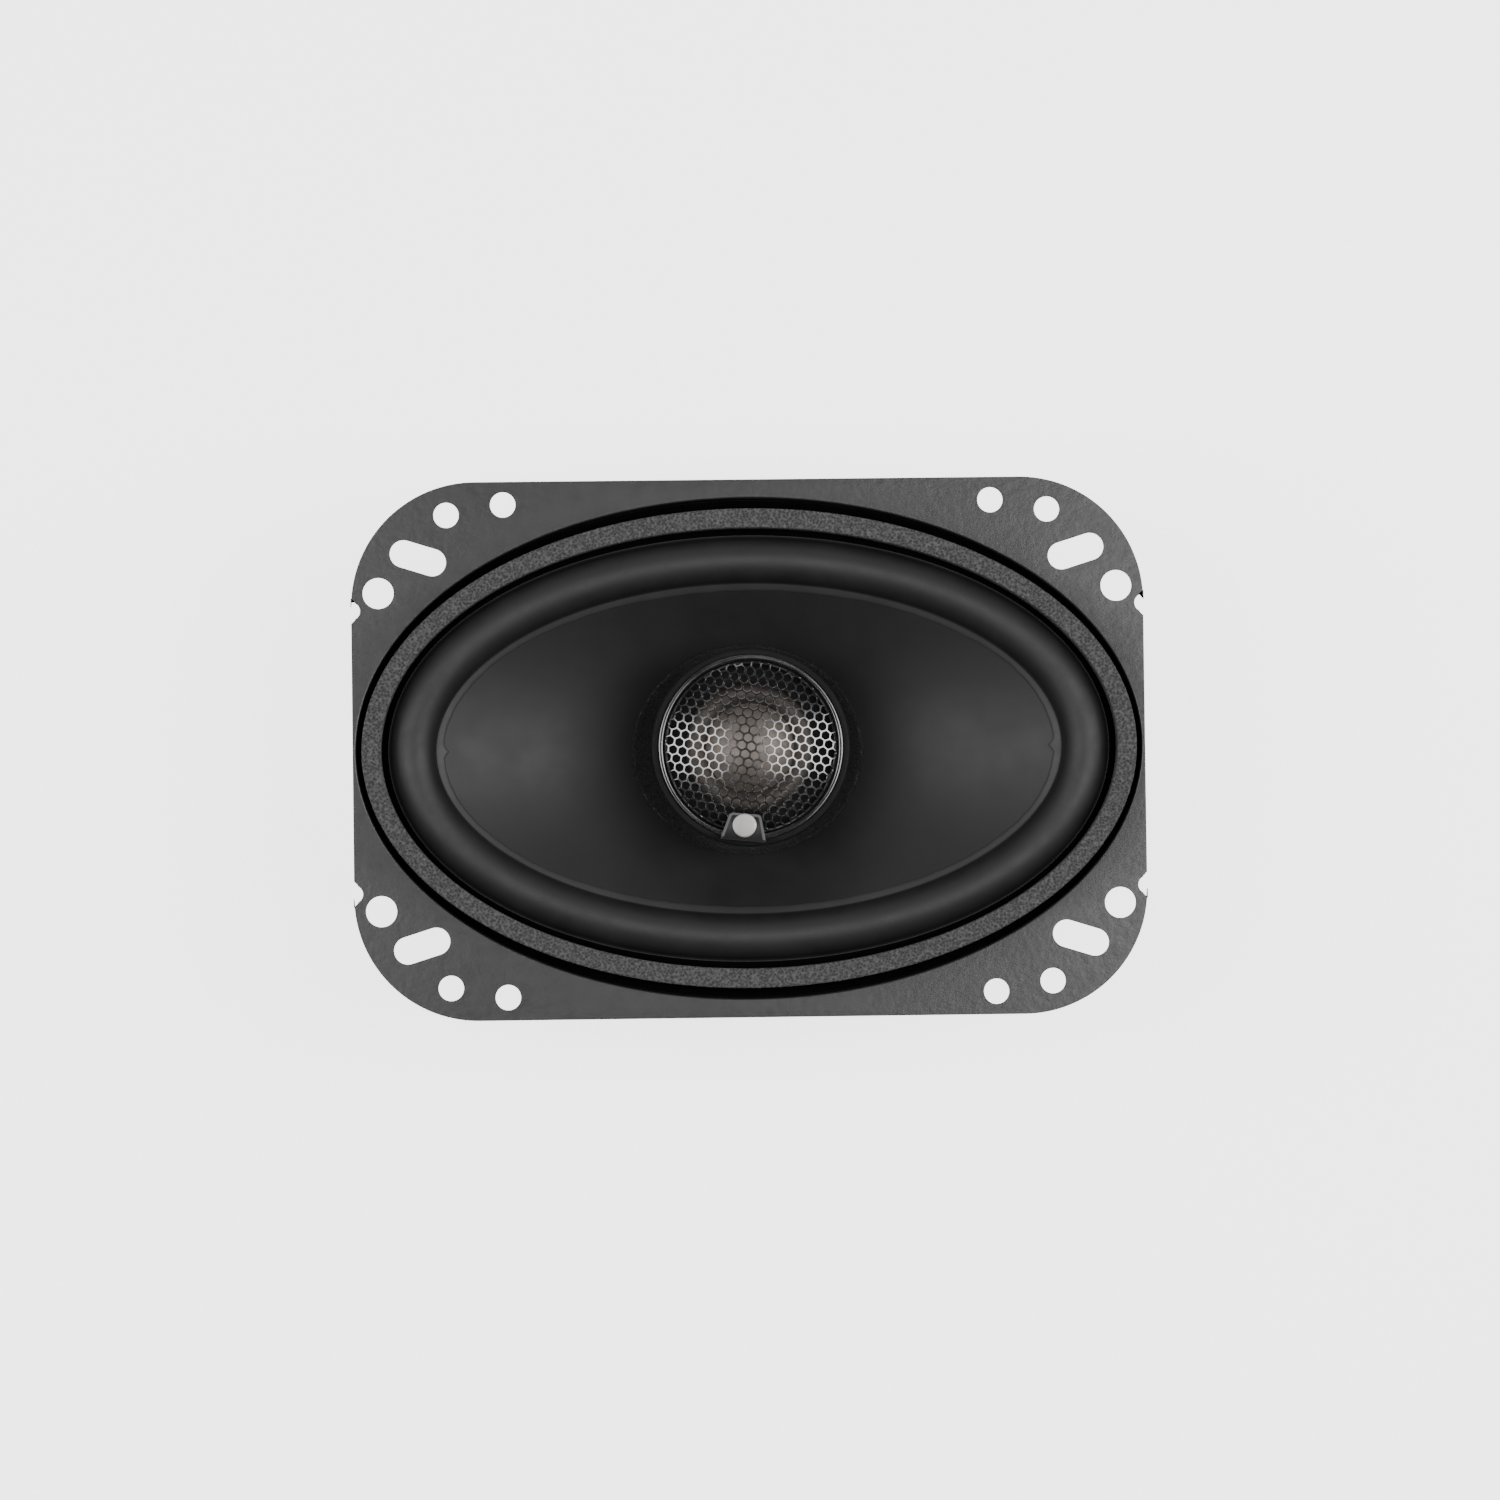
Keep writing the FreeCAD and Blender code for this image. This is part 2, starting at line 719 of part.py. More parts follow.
def add_arch(sketch, x, y, radius, thickness):
    """A half-round arch of even thickness, open side down, its centre at (x, y)."""
    centre = FreeCAD.Vector(size(x), size(y), 0)
    radii = (size(radius), size(radius) - size(thickness))
    arcs = []
    for reach in radii:
        left = centre + FreeCAD.Vector(-reach, 0, 0)
        top = centre + FreeCAD.Vector(0, reach, 0)
        right = centre + FreeCAD.Vector(reach, 0, 0)
        arcs.append(sketch.addGeometry(Part.Arc(left, top, right), False))
    for end in (1, 2):
        points = [sketch.getPoint(arc, end) for arc in arcs]
        foot = sketch.addGeometry(Part.LineSegment(*points), False)
        sketch.addConstraint(Sketcher.Constraint("Coincident", foot, 1, arcs[0], end))
        sketch.addConstraint(Sketcher.Constraint("Coincident", foot, 2, arcs[1], end))
        sketch.addConstraint(Sketcher.Constraint("Horizontal", foot))
    for arc, formula in zip(arcs, (radius, f"{radius} - {thickness}")):
        constrain(sketch, Sketcher.Constraint("Radius", arc, size(formula)), formula)
        pin_point(sketch, arc, 3, x, y)


def make_cone():
    """A thin elliptic cone whose neck is round, of even thickness along Z."""
    body = new_body("cone")
    skins = (
        ("Additive", "back", "cone_thickness", "neck_collar"),
        ("Subtractive", "front", "0", "neck_step"),
    )
    for kind, name, drop, collar in skins:
        rim = new_sketch(body, f"{name}_rim", height=f"cone_rim_z - {drop}")
        add_ellipse(rim, "cone_a", "cone_b")
        neck = new_sketch(body, f"{name}_neck", height=f"neck_z - {drop}")
        add_ellipse(neck, f"former_radius + {collar} + neck_oval", f"former_radius + {collar}")
        doc.recompute()
        if kind == "Additive":
            edge = new_sketch(body, "edge", height=f"cone_rim_z - {drop}")
            add_ellipse(edge, "cone_a + cone_edge", "cone_b + cone_edge")
            pad(body, edge, drop)
            doc.recompute()
        loft(body, kind, [rim, neck])
        doc.recompute()
    bore = [("0", "0")]
    start = "neck_z + bore_overrun"
    drill(body, "neck_bore", "former_radius", bore, start, "2 * cone_thickness + bore_overrun")
    holes = [(f"{side} * eyelet_x", "-eyelet_y") for side in (1, -1)]
    drill(body, "lead_holes", "eyelet_radius", holes, "cone_rim_z", "cone_depth + cone_thickness")


def cone_height(radius, semi_axis):
    """The cone's front face at a distance from Z, along the axis with that rim semi-axis."""
    share = f"(({radius}) - former_radius) / ({semi_axis} - former_radius)"
    return f"(neck_z + cone_depth * {share})"


def make_felt_ring():
    """A dished felt ring lying on the cone round its neck, open at the centre post."""
    body = new_body("felt_ring")
    edge_a = "former_radius + (cone_a - former_radius) * felt_rise / cone_depth"
    edge_b = "former_radius + (cone_b - former_radius) * felt_rise / cone_depth"
    foot = "neck_z + former_above_neck + felt_clearance"
    for kind, lift in (("Additive", "0"), ("Subtractive", "felt_thickness")):
        low = new_sketch(body, f"{kind}_low", height=f"{foot} + {lift}")
        add_ellipse(low, "former_radius + neck_oval", "former_radius")
        high = new_sketch(body, f"{kind}_high", height=f"{foot} + felt_rise + {lift}")
        add_ellipse(high, edge_a, edge_b)
        doc.recompute()
        loft(body, kind, [low, high])
        doc.recompute()
    drill(body, "bore", "felt_bore_radius", [("0", "0")], f"{foot} + felt_rise", "2 * felt_rise")


def make_lead_eyelets():
    """Two brass eyelets through the cone, where the flexible leads are soldered."""
    body = new_body("lead_eyelets")
    body.AllowCompound = True
    height = cone_height("eyelet_y", "cone_b")
    sketch = new_sketch(body, "barrels", height=f"{height} - eyelet_sink")
    for side in (1, -1):
        add_circle(sketch, "eyelet_radius - rivet_clearance", f"{side} * eyelet_x", "-eyelet_y")
    pad(body, sketch, "eyelet_height")
    doc.recompute()


# ---------------------------------------------------------------- voice coil and spider


def make_voice_coil():
    top = "neck_z + former_above_neck"
    tube = ring_corners("former_bore_radius", "former_radius", "former_foot_z", top)
    turned_body("voice_coil_former", tube)
    half = "winding_length / 2"
    coil = ring_corners("former_radius", "winding_radius", f"gap_z - {half}", f"gap_z + {half}")
    turned_body("voice_coil_winding", coil)


def make_spider():
    """A corrugated fabric disc: a flat land on the seat, then waves in to the former."""
    inner = "(former_radius + glue_line)"
    outer = "(spider_radius - spider_land)"
    step = f"({outer} - {inner}) / {2 * SPIDER_WAVES}"
    line = [("spider_radius", "-seat_depth"), (outer, "-seat_depth")]
    for index in range(1, 2 * SPIDER_WAVES):
        lift = " + spider_wave" if index % 2 else ""
        line.append((f"{outer} - {index} * {step}", f"-seat_depth{lift}"))
    line.append((inner, "-seat_depth"))
    upper = [(radius, f"{height} + spider_thickness") for radius, height in reversed(line)]
    turned_body("spider", line + upper)


# ---------------------------------------------------------------- magnet motor


def make_motor():
    bore = ring_corners("plate_bore_radius", "top_plate_radius", "magnet_top_z", "-basket_depth")
    plate = turned_body("top_plate", bore)
    doc.recompute()
    clearance = "rivet_radius + rivet_clearance"
    drill(plate, "rivet_holes", clearance, RIVET_PLACES, "-basket_depth", "top_plate_height")
    bevel = "magnet_chamfer"
    corners = [
        ("magnet_bore_radius", "magnet_foot_z"),
        (f"magnet_radius - {bevel}", "magnet_foot_z"),
        ("magnet_radius", f"magnet_foot_z + {bevel}"),
        ("magnet_radius", f"magnet_top_z - {bevel}"),
        (f"magnet_radius - {bevel}", "magnet_top_z"),
        ("magnet_bore_radius", "magnet_top_z"),
    ]
    turned_body("magnet", corners)
    pocket_top = "back_z + nut_pocket_depth"
    yoke = [
        ("nut_pocket_radius", "back_z"),
        ("back_plate_radius", "back_z"),
        ("back_plate_radius", "magnet_foot_z"),
        ("pole_radius", "magnet_foot_z"),
        ("pole_radius", "-basket_depth"),
        ("stem_bore_radius", "-basket_depth"),
        ("stem_bore_radius", pocket_top),
        ("nut_pocket_radius", pocket_top),
    ]
    turned_body("pole_yoke", yoke)


def make_magnet_boot():
    """A cup over the magnet's back, with a slot in its wall for the tweeter's leads."""
    bore = "(magnet_radius + boot_clearance)"
    rim = "boot_z + boot_height"
    step = "(back_plate_radius + boot_clearance)"
    corners = [
        ("0", "boot_z"),
        (f"{bore} + boot_wall - boot_bevel", "boot_z"),
        (f"{bore} + boot_wall", "boot_z + boot_bevel"),
        (f"{bore} + boot_wall", rim),
        (bore, rim),
        (bore, "magnet_foot_z - boot_gap"),
        (step, "magnet_foot_z - boot_gap"),
        (step, "back_z"),
        (f"{step} - boot_shelf", "back_z"),
        (f"{step} - boot_shelf", "boot_z + boot_wall"),
        ("0", "boot_z + boot_wall"),
    ]
    body = turned_body("magnet_boot", corners)
    doc.recompute()
    half = "boot_slot_width / 2"
    rows = (f"-({bore} + 2 * boot_wall)", f"-({step} - boot_slot_root)")
    slot = box_sketch(body, "lead_slot", (f"-{half}", half), rows, rim)
    pocket(body, slot, "boot_height - boot_wall")


def make_basket_rivets():
    """Four rivets hold the basket to the top plate."""
    body = new_body("basket_rivets")
    body.AllowCompound = True
    seat = "-basket_depth + sheet"
    shank = new_sketch(body, "shank", height=seat)
    head = new_sketch(body, "head", height=seat)
    for x, y in RIVET_PLACES:
        add_circle(shank, "rivet_radius", x, y)
        add_circle(head, "rivet_head_radius", x, y)
    pad(body, head, "rivet_head_height")
    pad(body, shank, "sheet + top_plate_height - rivet_clearance", downward=True)
    doc.recompute()


# ---------------------------------------------------------------- centre post


def make_post():
    """A hollow post: its collar stands on the pole, its stem goes through to a nut at the back."""
    seat = "back_z + nut_pocket_depth"
    washer_foot = f"{seat} - washer_height"
    nut_foot = f"{washer_foot} - nut_height"
    floor_top = "-tweeter_base + housing_floor"
    corners = [
        ("post_bore_radius", f"{nut_foot} - post_tail"),
        ("post_stem_radius", f"{nut_foot} - post_tail"),
        ("post_stem_radius", "-basket_depth"),
        ("post_collar_radius", "-basket_depth"),
        ("post_collar_radius", "-basket_depth + post_collar_height"),
        ("post_radius", "-basket_depth + post_collar_height"),
        ("post_radius", "-tweeter_base"),
        ("post_stem_radius", "-tweeter_base"),
        ("post_stem_radius", floor_top),
        ("post_bore_radius", floor_top),
    ]
    turned_body("tweeter_post", corners)
    turned_body("post_washer", ring_corners("stem_bore_radius", "washer_radius", washer_foot, seat))
    nut = new_body("post_nut")
    outline = new_sketch(nut, "hexagon", height=nut_foot)
    add_polygon(outline, on_circle("nut_width / sqrt(3)", NUT_SIDES, 0))
    add_circle(outline, "post_stem_radius")
    pad(nut, outline, "nut_height")
    doc.recompute()


# ---------------------------------------------------------------- tweeter


def make_tweeter_housing():
    """A cup with a thick dark rim; its bore steps out to seat the diaphragm's ring."""
    skirt = "tweeter_radius - housing_step"
    bore = f"({skirt} - housing_wall)"
    corners = [
        ("stem_bore_radius", "-tweeter_base"),
        (f"{skirt} - housing_bevel", "-tweeter_base"),
        (skirt, "-tweeter_base + housing_bevel"),
        (skirt, "tweeter_top - rim_height - housing_step"),
        ("tweeter_radius", "tweeter_top - rim_height"),
        ("tweeter_radius", "tweeter_top - rim_bevel"),
        ("tweeter_radius - rim_bevel", "tweeter_top"),
        ("trim_bore_radius", "tweeter_top"),
        ("trim_bore_radius", "ring_z"),
        (bore, "ring_z"),
        (bore, "-tweeter_base + housing_floor"),
        ("stem_bore_radius", "-tweeter_base + housing_floor"),
    ]
    body = turned_body("tweeter_housing", corners)
    doc.recompute()
    ribs = new_sketch(body, "ribs", height="-tweeter_base + housing_floor")
    for x, y in on_circle("rib_circle_radius", RIB_COUNT, RIB_ANGLE):
        add_circle(ribs, "rib_radius", x, y)
    pad(body, ribs, "rib_height")
    doc.recompute()


def make_trim_ring():
    """The bright ring that clamps the diaphragm's ring and carries the grille."""
    top = "tweeter_top + trim_rise"
    seat = "tweeter_top - grille_seat"
    corners = [
        ("trim_inner_radius - trim_step", "dome_z"),
        ("trim_outer_radius", "dome_z"),
        ("trim_outer_radius", f"{top} - trim_bevel"),
        ("trim_outer_radius - trim_bevel", top),
        ("trim_inner_radius + trim_bevel", top),
        ("trim_inner_radius", f"{top} - trim_bevel"),
        ("trim_inner_radius", seat),
        ("trim_inner_radius - trim_step", seat),
    ]
    turned_body("tweeter_trim_ring", corners)


def thin_dome(label, rim_radius, rise, thickness, rim_z):
    """A spherical shell: two balls and a cylinder that trims them at the rim."""
    ball_radius = f"((({rim_radius})^2 + ({rise})^2) / (2 * {rise}))"
    centre = f"{rim_z} + {rise} - {ball_radius}"
    balls = {}
    for name, inset in (("outer", "0"), ("inner", thickness)):
        ball = doc.addObject("Part::Sphere", f"{label}_{name}")
        bind(ball, "Radius", f"{ball_radius} - {inset}")
        bind(ball, "Placement.Base.z", centre)
        balls[name] = ball
    shell = doc.addObject("Part::Cut", f"{label}_shell")
    shell.Base = balls["outer"]
    shell.Tool = balls["inner"]
    trim = doc.addObject("Part::Cylinder", f"{label}_trim")
    bind(trim, "Radius", rim_radius)
    bind(trim, "Height", f"2 * {rise}")
    bind(trim, "Placement.Base.z", f"{rim_z} - {thickness}")
    dome = doc.addObject("Part::Common", label)
    dome.Base = shell
    dome.Tool = trim
    dome.Label = label
    nodes.append(dome)


def make_grille():
    rim = "(trim_inner_radius - 2 * fit_clearance)"
    thin_dome("tweeter_grille", rim, "grille_rise", "grille_thickness", "(tweeter_top + fit_clearance)")


def make_tweeter_motor():
    cup = [
        ("0", "cup_z"),
        ("cup_radius", "cup_z"),
        ("cup_radius", "tweeter_plate_top"),
        ("cup_bore_radius", "tweeter_plate_top"),
        ("cup_bore_radius", "tweeter_magnet_z"),
        ("0", "tweeter_magnet_z"),
    ]
    turned_body("tweeter_cup", cup)
    discs = (
        ("tweeter_magnet", "tweeter_magnet_radius", "tweeter_magnet_z", "tweeter_plate_z"),
        ("tweeter_pole_plate", "tweeter_plate_radius", "tweeter_plate_z", "tweeter_plate_top"),
    )
    for label, radius, low, high in discs:
        turned_body(label, [("0", low), (radius, low), (radius, high), ("0", high)])


def make_tweeter_diaphragm():
    """The dome, its coil, its flexible surround and the ring that clamps the surround."""
    coil = "tweeter_coil_radius"
    shell = "dome_rim_radius"
    middle = "(tweeter_plate_z + tweeter_plate_top) / 2"
    half = "tweeter_winding_length / 2"
    foot = f"{middle} - {half}"
    turned_body("tweeter_coil_former", ring_corners(coil, shell, foot, "dome_z - dome_thickness"))
    wire = ring_corners(shell, "tweeter_winding_radius", foot, f"{middle} + {half}")
    turned_body("tweeter_coil_winding", wire)
    thin_dome("tweeter_dome", shell, "dome_height", "dome_thickness", "dome_z")
    ring = ring_corners("ring_bore_radius", "trim_outer_radius", "ring_z", "dome_z")
    turned_body("tweeter_diaphragm_ring", ring)
    inner = f"({shell} + glue_line)"
    band = f"(ring_bore_radius - {inner})"
    line = [
        (inner, "dome_z"),
        (f"{inner} + dome_surround_slope * {band}", "dome_z + dome_surround_rise"),
        (f"ring_bore_radius - dome_surround_slope * {band}", "dome_z + dome_surround_rise"),
        ("ring_bore_radius", "dome_z"),
    ]
    thick = "dome_surround_thickness"
    lower = [(radius, f"{height} - {thick}") for radius, height in reversed(line)]
    turned_body("tweeter_surround", line + lower)


def make_badge():
    """A trapezoid tab reaching in from the trim ring over the grille, with a plain round disc."""
    tab = new_body("badge_tab")
    ring_top = "tweeter_top + trim_rise"
    under = f"({ring_top} + tab_leg_height)"
    outer = "(trim_outer_radius - trim_bevel)"
    half = "tab_base_width / 2"
    plate = new_sketch(tab, "plate", height=under)
    tip = f"{outer} - tab_reach"
    corners = [
        (outer, f"-{half}"),
        (outer, half),
        (tip, "tab_top_width / 2"),
        (tip, "-tab_top_width / 2"),
    ]
    add_polygon(plate, corners)
    pad(tab, plate, "tab_thickness")
    leg = box_sketch(tab, "leg", (f"{outer} - tab_leg", outer), (f"-{half}", half), ring_top)
    pad(tab, leg, "tab_leg_height")
    disc = new_body("badge_disc")
    face = new_sketch(disc, "face", height=f"{under} + tab_thickness")
    add_circle(face, "badge_radius", "badge_place")
    pad(disc, face, "badge_height")
    for body in (tab, disc):
        body.Placement.Rotation = FreeCAD.Rotation(FreeCAD.Vector(0, 0, 1), size("badge_angle"))
    doc.recompute()


# ---------------------------------------------------------------- terminals


def box_sketch(body, name, x_range, y_range, height):
    sketch = new_sketch(body, name, height=height)
    (left, right), (near, far) = x_range, y_range
    add_polygon(sketch, [(left, near), (right, near), (right, far), (left, far)])
    return sketch


def make_terminal_board():
    body = new_body("terminal_board")
    half = "board_length / 2"
    rows = ("-board_outer", "-board_inner")
    foot = "board_z - board_thickness"
    pad(body, box_sketch(body, "plate", (f"-{half}", half), rows, foot), "board_thickness")
    doc.recompute()
    rivet = [("0", "-terminal_row")]
    drill(body, "rivet_hole", "rivet_radius + rivet_clearance", rivet, "board_z", "board_thickness")
    ends = [(f"{side} * terminal_offset", "-terminal_row") for side in (1, -1)]
    hole = "terminal_eyelet_radius + rivet_clearance"
    drill(body, "eyelet_holes", hole, ends, "board_z", "board_thickness")


def make_terminal(label, side, blade_width):
    """A push-on blade bent off the board's back, with an eyelet through to a solder pad in front."""
    body = new_body(label)
    x = f"{side} * terminal_offset"
    back = "board_z - board_thickness"
    thick = "terminal_thickness"
    half = f"{blade_width} / 2"
    wide = (f"{x} - {half}", f"{x} + {half}")
    base_rows = ("-board_outer", "-board_inner - terminal_inset")
    pad(body, box_sketch(body, "base", wide, base_rows, f"{back} - {thick}"), thick)
    blade_rows = ("-board_outer", f"-board_outer + {thick}")
    blade = box_sketch(body, "blade", wide, blade_rows, f"{back} - terminal_drop")
    pad(body, blade, "terminal_drop")
    eyelet = new_sketch(body, "eyelet", height=f"{back} - {thick} / 2")
    add_circle(eyelet, "terminal_eyelet_radius", x, "-terminal_row")
    pad(body, eyelet, f"board_thickness + {thick} / 2 + lug_thickness / 2")
    lug = "lug_width / 2"
    rows = (f"-terminal_row - {lug}", f"-terminal_row + {lug}")
    columns = (f"{x} - {lug}", f"{x} + {lug}")
    pad(body, box_sketch(body, "lug", columns, rows, "board_z"), "lug_thickness")
    doc.recompute()


def make_board_rivet():
    body = new_body("board_rivet")
    foot = "board_z - board_thickness"
    levels = (
        ("shank", "board_rivet_radius", foot, "board_thickness + sheet"),
        ("upper_head", "board_rivet_head", "board_z + sheet", "rivet_head_height"),
        ("lower_head", "board_rivet_head", f"{foot} - rivet_head_height", "rivet_head_height"),
    )
    for name, radius, low, height in levels:
        sketch = new_sketch(body, name, height=low)
        add_circle(sketch, radius, "0", "-terminal_row")
        pad(body, sketch, height)
    doc.recompute()


def add_shape(label, shape):
    feature = doc.addObject("Part::Feature", label)
    feature.Label = label
    feature.Shape = shape
    feature.Placement = FreeCAD.Placement()
    nodes.append(feature)
    return feature


def place(x, y, z):
    return FreeCAD.Vector(size(x), size(y), size(z))


def make_capacitor():
    """A small axial capacitor across the terminal tab; one pin bends down to the positive pad."""
    body = new_body("crossover_capacitor")
    reach = "capacitor_length / 2 + capacitor_pin_length"
    bars = (
        ("can", "capacitor_radius", "capacitor_length", "-capacitor_length / 2"),
        ("pins", "capacitor_pin_radius", f"2 * ({reach})", f"-({reach})"),
    )
    for name, radius, length, start in bars:
        sketch = new_sketch(body, name, "YZ_Plane", start)
        add_circle(sketch, radius, "-capacitor_row", "capacitor_z")
        pad(body, sketch, length)
        doc.recompute()
    leg = new_sketch(body, "leg", height="board_z + lug_thickness")
    add_circle(leg, "capacitor_pin_radius", reach, "-capacitor_row")
    pad(body, leg, "capacitor_z - board_z - lug_thickness")
    doc.recompute()


# ---------------------------------------------------------------- leads


def lead_path(points, limit):
    """Straight runs joined by tangent arcs, each as large as its runs and the limit allow."""
    edges = []
    radii = []
    last = points[0]
    for before, corner, after in zip(points, points[1:], points[2:]):
        back = before - corner
        ahead = after - corner
        turn_angle = math.pi - back.getAngle(ahead)
        shorter = min(back.Length, ahead.Length)
        radius = min(ARC_SHARE * shorter / math.tan(turn_angle / 2), limit)
        reach = radius * math.tan(turn_angle / 2)
        back.normalize()
        ahead.normalize()
        inward = back + ahead
        inward.normalize()
        start = corner + back * reach
        finish = corner + ahead * reach
        middle = corner + inward * (radius / math.cos(turn_angle / 2) - radius)
        edges.append(Part.LineSegment(last, start).toShape())
        edges.append(Part.Arc(start, middle, finish).toShape())
        radii.append(round(radius, 1))
        last = finish
    edges.append(Part.LineSegment(last, points[-1]).toShape())
    return Part.Wire(edges), radii


def make_lead(label, route, radius, limit):
    points = [place(*corner) for corner in route]
    path, radii = lead_path(points, size(limit))
    section = Part.Wire([Part.makeCircle(size(radius), points[0], points[1] - points[0])])
    solid = path.makePipeShell([section], True, False)
    expected = math.pi * size(radius) ** 2 * path.Length
    if abs(solid.Volume - expected) > VOLUME_TOLERANCE * expected:
        raise RuntimeError(f"{label} has volume {solid.Volume:.2f}, not {expected:.2f}")
    print(f"{label}: length {path.Length:.1f} mm, bend radii {radii}")
    add_shape(label, solid)


def make_tinsel_leads():
    """Flexible leads from the terminals up through the side window to the cone's eyelets."""
    under_cone = f"{cone_height('eyelet_y', 'cone_b')} - eyelet_sink - 2 * glue_line"
    for name, side in (("positive", 1), ("negative", -1)):
        start = f"{side} * terminal_offset"
        between = f"{side} * (terminal_offset + eyelet_x) / 2"
        finish = f"{side} * eyelet_x"
        route = [
            (start, "-terminal_row", "board_z + lug_thickness"),
            (start, "-terminal_row", "board_z + tinsel_riser"),
            (between, "-terminal_row + tinsel_reach", "board_z + tinsel_climb"),
            (finish, "-eyelet_y - tinsel_offset", f"{under_cone} - tinsel_arrival"),
            (finish, "-eyelet_y", under_cone),
        ]
        make_lead(f"tinsel_lead_{name}", route, "tinsel_radius", "tinsel_bend")


def make_tweeter_leads():
    """Insulated leads from the diaphragm's ring, down the hollow post and round to the board."""
    inside = "(-tweeter_base + housing_floor + rib_height / 2)"
    behind = "(boot_z + boot_wall + boot_space / 2)"
    beside = "(magnet_radius + boot_clearance + boot_wall + lead_standoff)"
    base = "board_z - board_thickness - terminal_thickness"
    pin_end = "(capacitor_length / 2 + capacitor_pin_length + lead_radius)"
    gap_row = "(board_inner - lead_radius - lead_gap)"
    ends = {
        "positive": [
            ("-pass_x", f"-{gap_row}", f"{base} - pass_drop"),
            (f"-{pin_end}", f"-{gap_row}", "board_z - pass_rise"),
            (f"-{pin_end}", f"-{gap_row}", "capacitor_z"),
            (f"-{pin_end}", "-capacitor_row", "capacitor_z"),
        ],
        "negative": [
            ("-terminal_offset", "-board_inner - negative_row", f"{base} - negative_drop"),
            ("-terminal_offset", "-board_inner - negative_row", base),
        ],
    }
    for name, side in (("positive", 1), ("negative", -1)):
        x = f"{side} * lead_spacing"
        route = [
            (f"{side} * lead_drop_radius", "0", "ring_z - lead_gap / 4"),
            (f"{side} * lead_drop_radius", "0", inside),
            (x, "0", inside),
            (x, "0", behind),
            (x, f"-{beside}", behind),
        ]
        make_lead(f"tweeter_lead_{name}", route + ends[name], "lead_radius", "lead_bend")


# ---------------------------------------------------------------- the whole speaker


def make_everything():
    make_basket()
    make_front_gasket()
    make_surround()
    make_cone()
    make_felt_ring()
    make_lead_eyelets()
    make_voice_coil()
    make_spider()
    make_motor()
    make_magnet_boot()
    make_basket_rivets()
    make_post()
    make_tweeter_housing()
    make_trim_ring()
    make_grille()
    make_tweeter_motor()
    make_tweeter_diaphragm()
    make_badge()
    make_terminal_board()
    make_terminal("terminal_positive", 1, "positive_blade_width")
    make_terminal("terminal_negative", -1, "negative_blade_width")
    make_board_rivet()
    make_capacitor()
    make_tinsel_leads()
    make_tweeter_leads()
    doc.recompute()


def check_everything():
    for item in doc.Objects:
        if "Invalid" in item.State or "Error" in item.State:
            raise RuntimeError(f"{item.Name} failed: {item.getStatusString()}")
    for node in nodes:
        if node.Shape.isNull() or not node.Shape.isValid():
            raise RuntimeError(f"{node.Label} has no valid shape")


def write_everything():
    os.makedirs("parts", exist_ok=True)
    for node in nodes:
        node.Shape.exportStep(f"parts/{node.Label}.step")


make_everything()
check_everything()
write_everything()
print(f"{len(nodes)} nodes written")
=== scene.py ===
import math
import random

import bmesh
import bpy
import numpy as np
from mathutils import Matrix, Vector


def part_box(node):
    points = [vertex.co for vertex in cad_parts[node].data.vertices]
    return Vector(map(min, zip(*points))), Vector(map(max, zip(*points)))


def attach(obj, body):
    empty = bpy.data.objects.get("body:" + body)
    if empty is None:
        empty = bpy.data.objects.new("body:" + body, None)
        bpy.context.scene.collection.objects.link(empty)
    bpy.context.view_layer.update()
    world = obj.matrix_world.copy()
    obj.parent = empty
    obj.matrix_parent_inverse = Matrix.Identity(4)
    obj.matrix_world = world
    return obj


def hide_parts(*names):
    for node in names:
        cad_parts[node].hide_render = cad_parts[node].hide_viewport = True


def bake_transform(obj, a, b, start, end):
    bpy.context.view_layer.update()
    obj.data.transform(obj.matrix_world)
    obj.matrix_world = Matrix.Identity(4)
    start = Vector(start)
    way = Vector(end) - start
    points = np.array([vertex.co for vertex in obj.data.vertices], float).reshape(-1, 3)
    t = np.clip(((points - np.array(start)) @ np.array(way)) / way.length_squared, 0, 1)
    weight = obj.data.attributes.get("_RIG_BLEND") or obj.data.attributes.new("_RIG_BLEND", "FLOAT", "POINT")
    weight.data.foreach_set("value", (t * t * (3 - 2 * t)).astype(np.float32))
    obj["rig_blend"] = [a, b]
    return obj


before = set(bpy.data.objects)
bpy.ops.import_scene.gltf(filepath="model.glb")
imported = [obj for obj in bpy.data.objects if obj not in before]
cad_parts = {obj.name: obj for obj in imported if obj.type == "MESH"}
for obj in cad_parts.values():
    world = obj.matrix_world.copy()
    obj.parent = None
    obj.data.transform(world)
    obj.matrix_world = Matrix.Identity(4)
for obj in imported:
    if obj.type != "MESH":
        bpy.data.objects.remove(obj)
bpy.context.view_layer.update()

# Coaxial car speaker, metres. +Z points to the listener, +X along the flange's long side.

MM = 0.001
ROUND = 288          # segments round a full circle or oval
LIP_OUT = (61.7 * MM, 32.65 * MM)      # where the surround's inner lip starts on the cone


def low(node):
    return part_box(node)[0]


def high(node):
    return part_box(node)[1]


def half_size(node):
    """Half the node's size along X and along Y."""
    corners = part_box(node)
    return (corners[1].x - corners[0].x) / 2, (corners[1].y - corners[0].y) / 2


# ------------------------------------------------------------------ mesh helpers


def new_object(name, data):
    thing = bpy.data.objects.new(name, data)
    bpy.context.scene.collection.objects.link(thing)
    return thing


def shade_smooth(thing, degrees=35):
    """Smooth shading, with edges sharper than the angle kept crisp."""
    mesh = thing.data
    mesh.shade_smooth()
    mesh.set_sharp_from_angle(angle=math.radians(degrees))
    return thing


def object_from_bmesh(name, bm, degrees=35):
    bmesh.ops.recalc_face_normals(bm, faces=bm.faces)
    mesh = bpy.data.meshes.new(name)
    bm.to_mesh(mesh)
    bm.free()
    return shade_smooth(new_object(name, mesh), degrees)


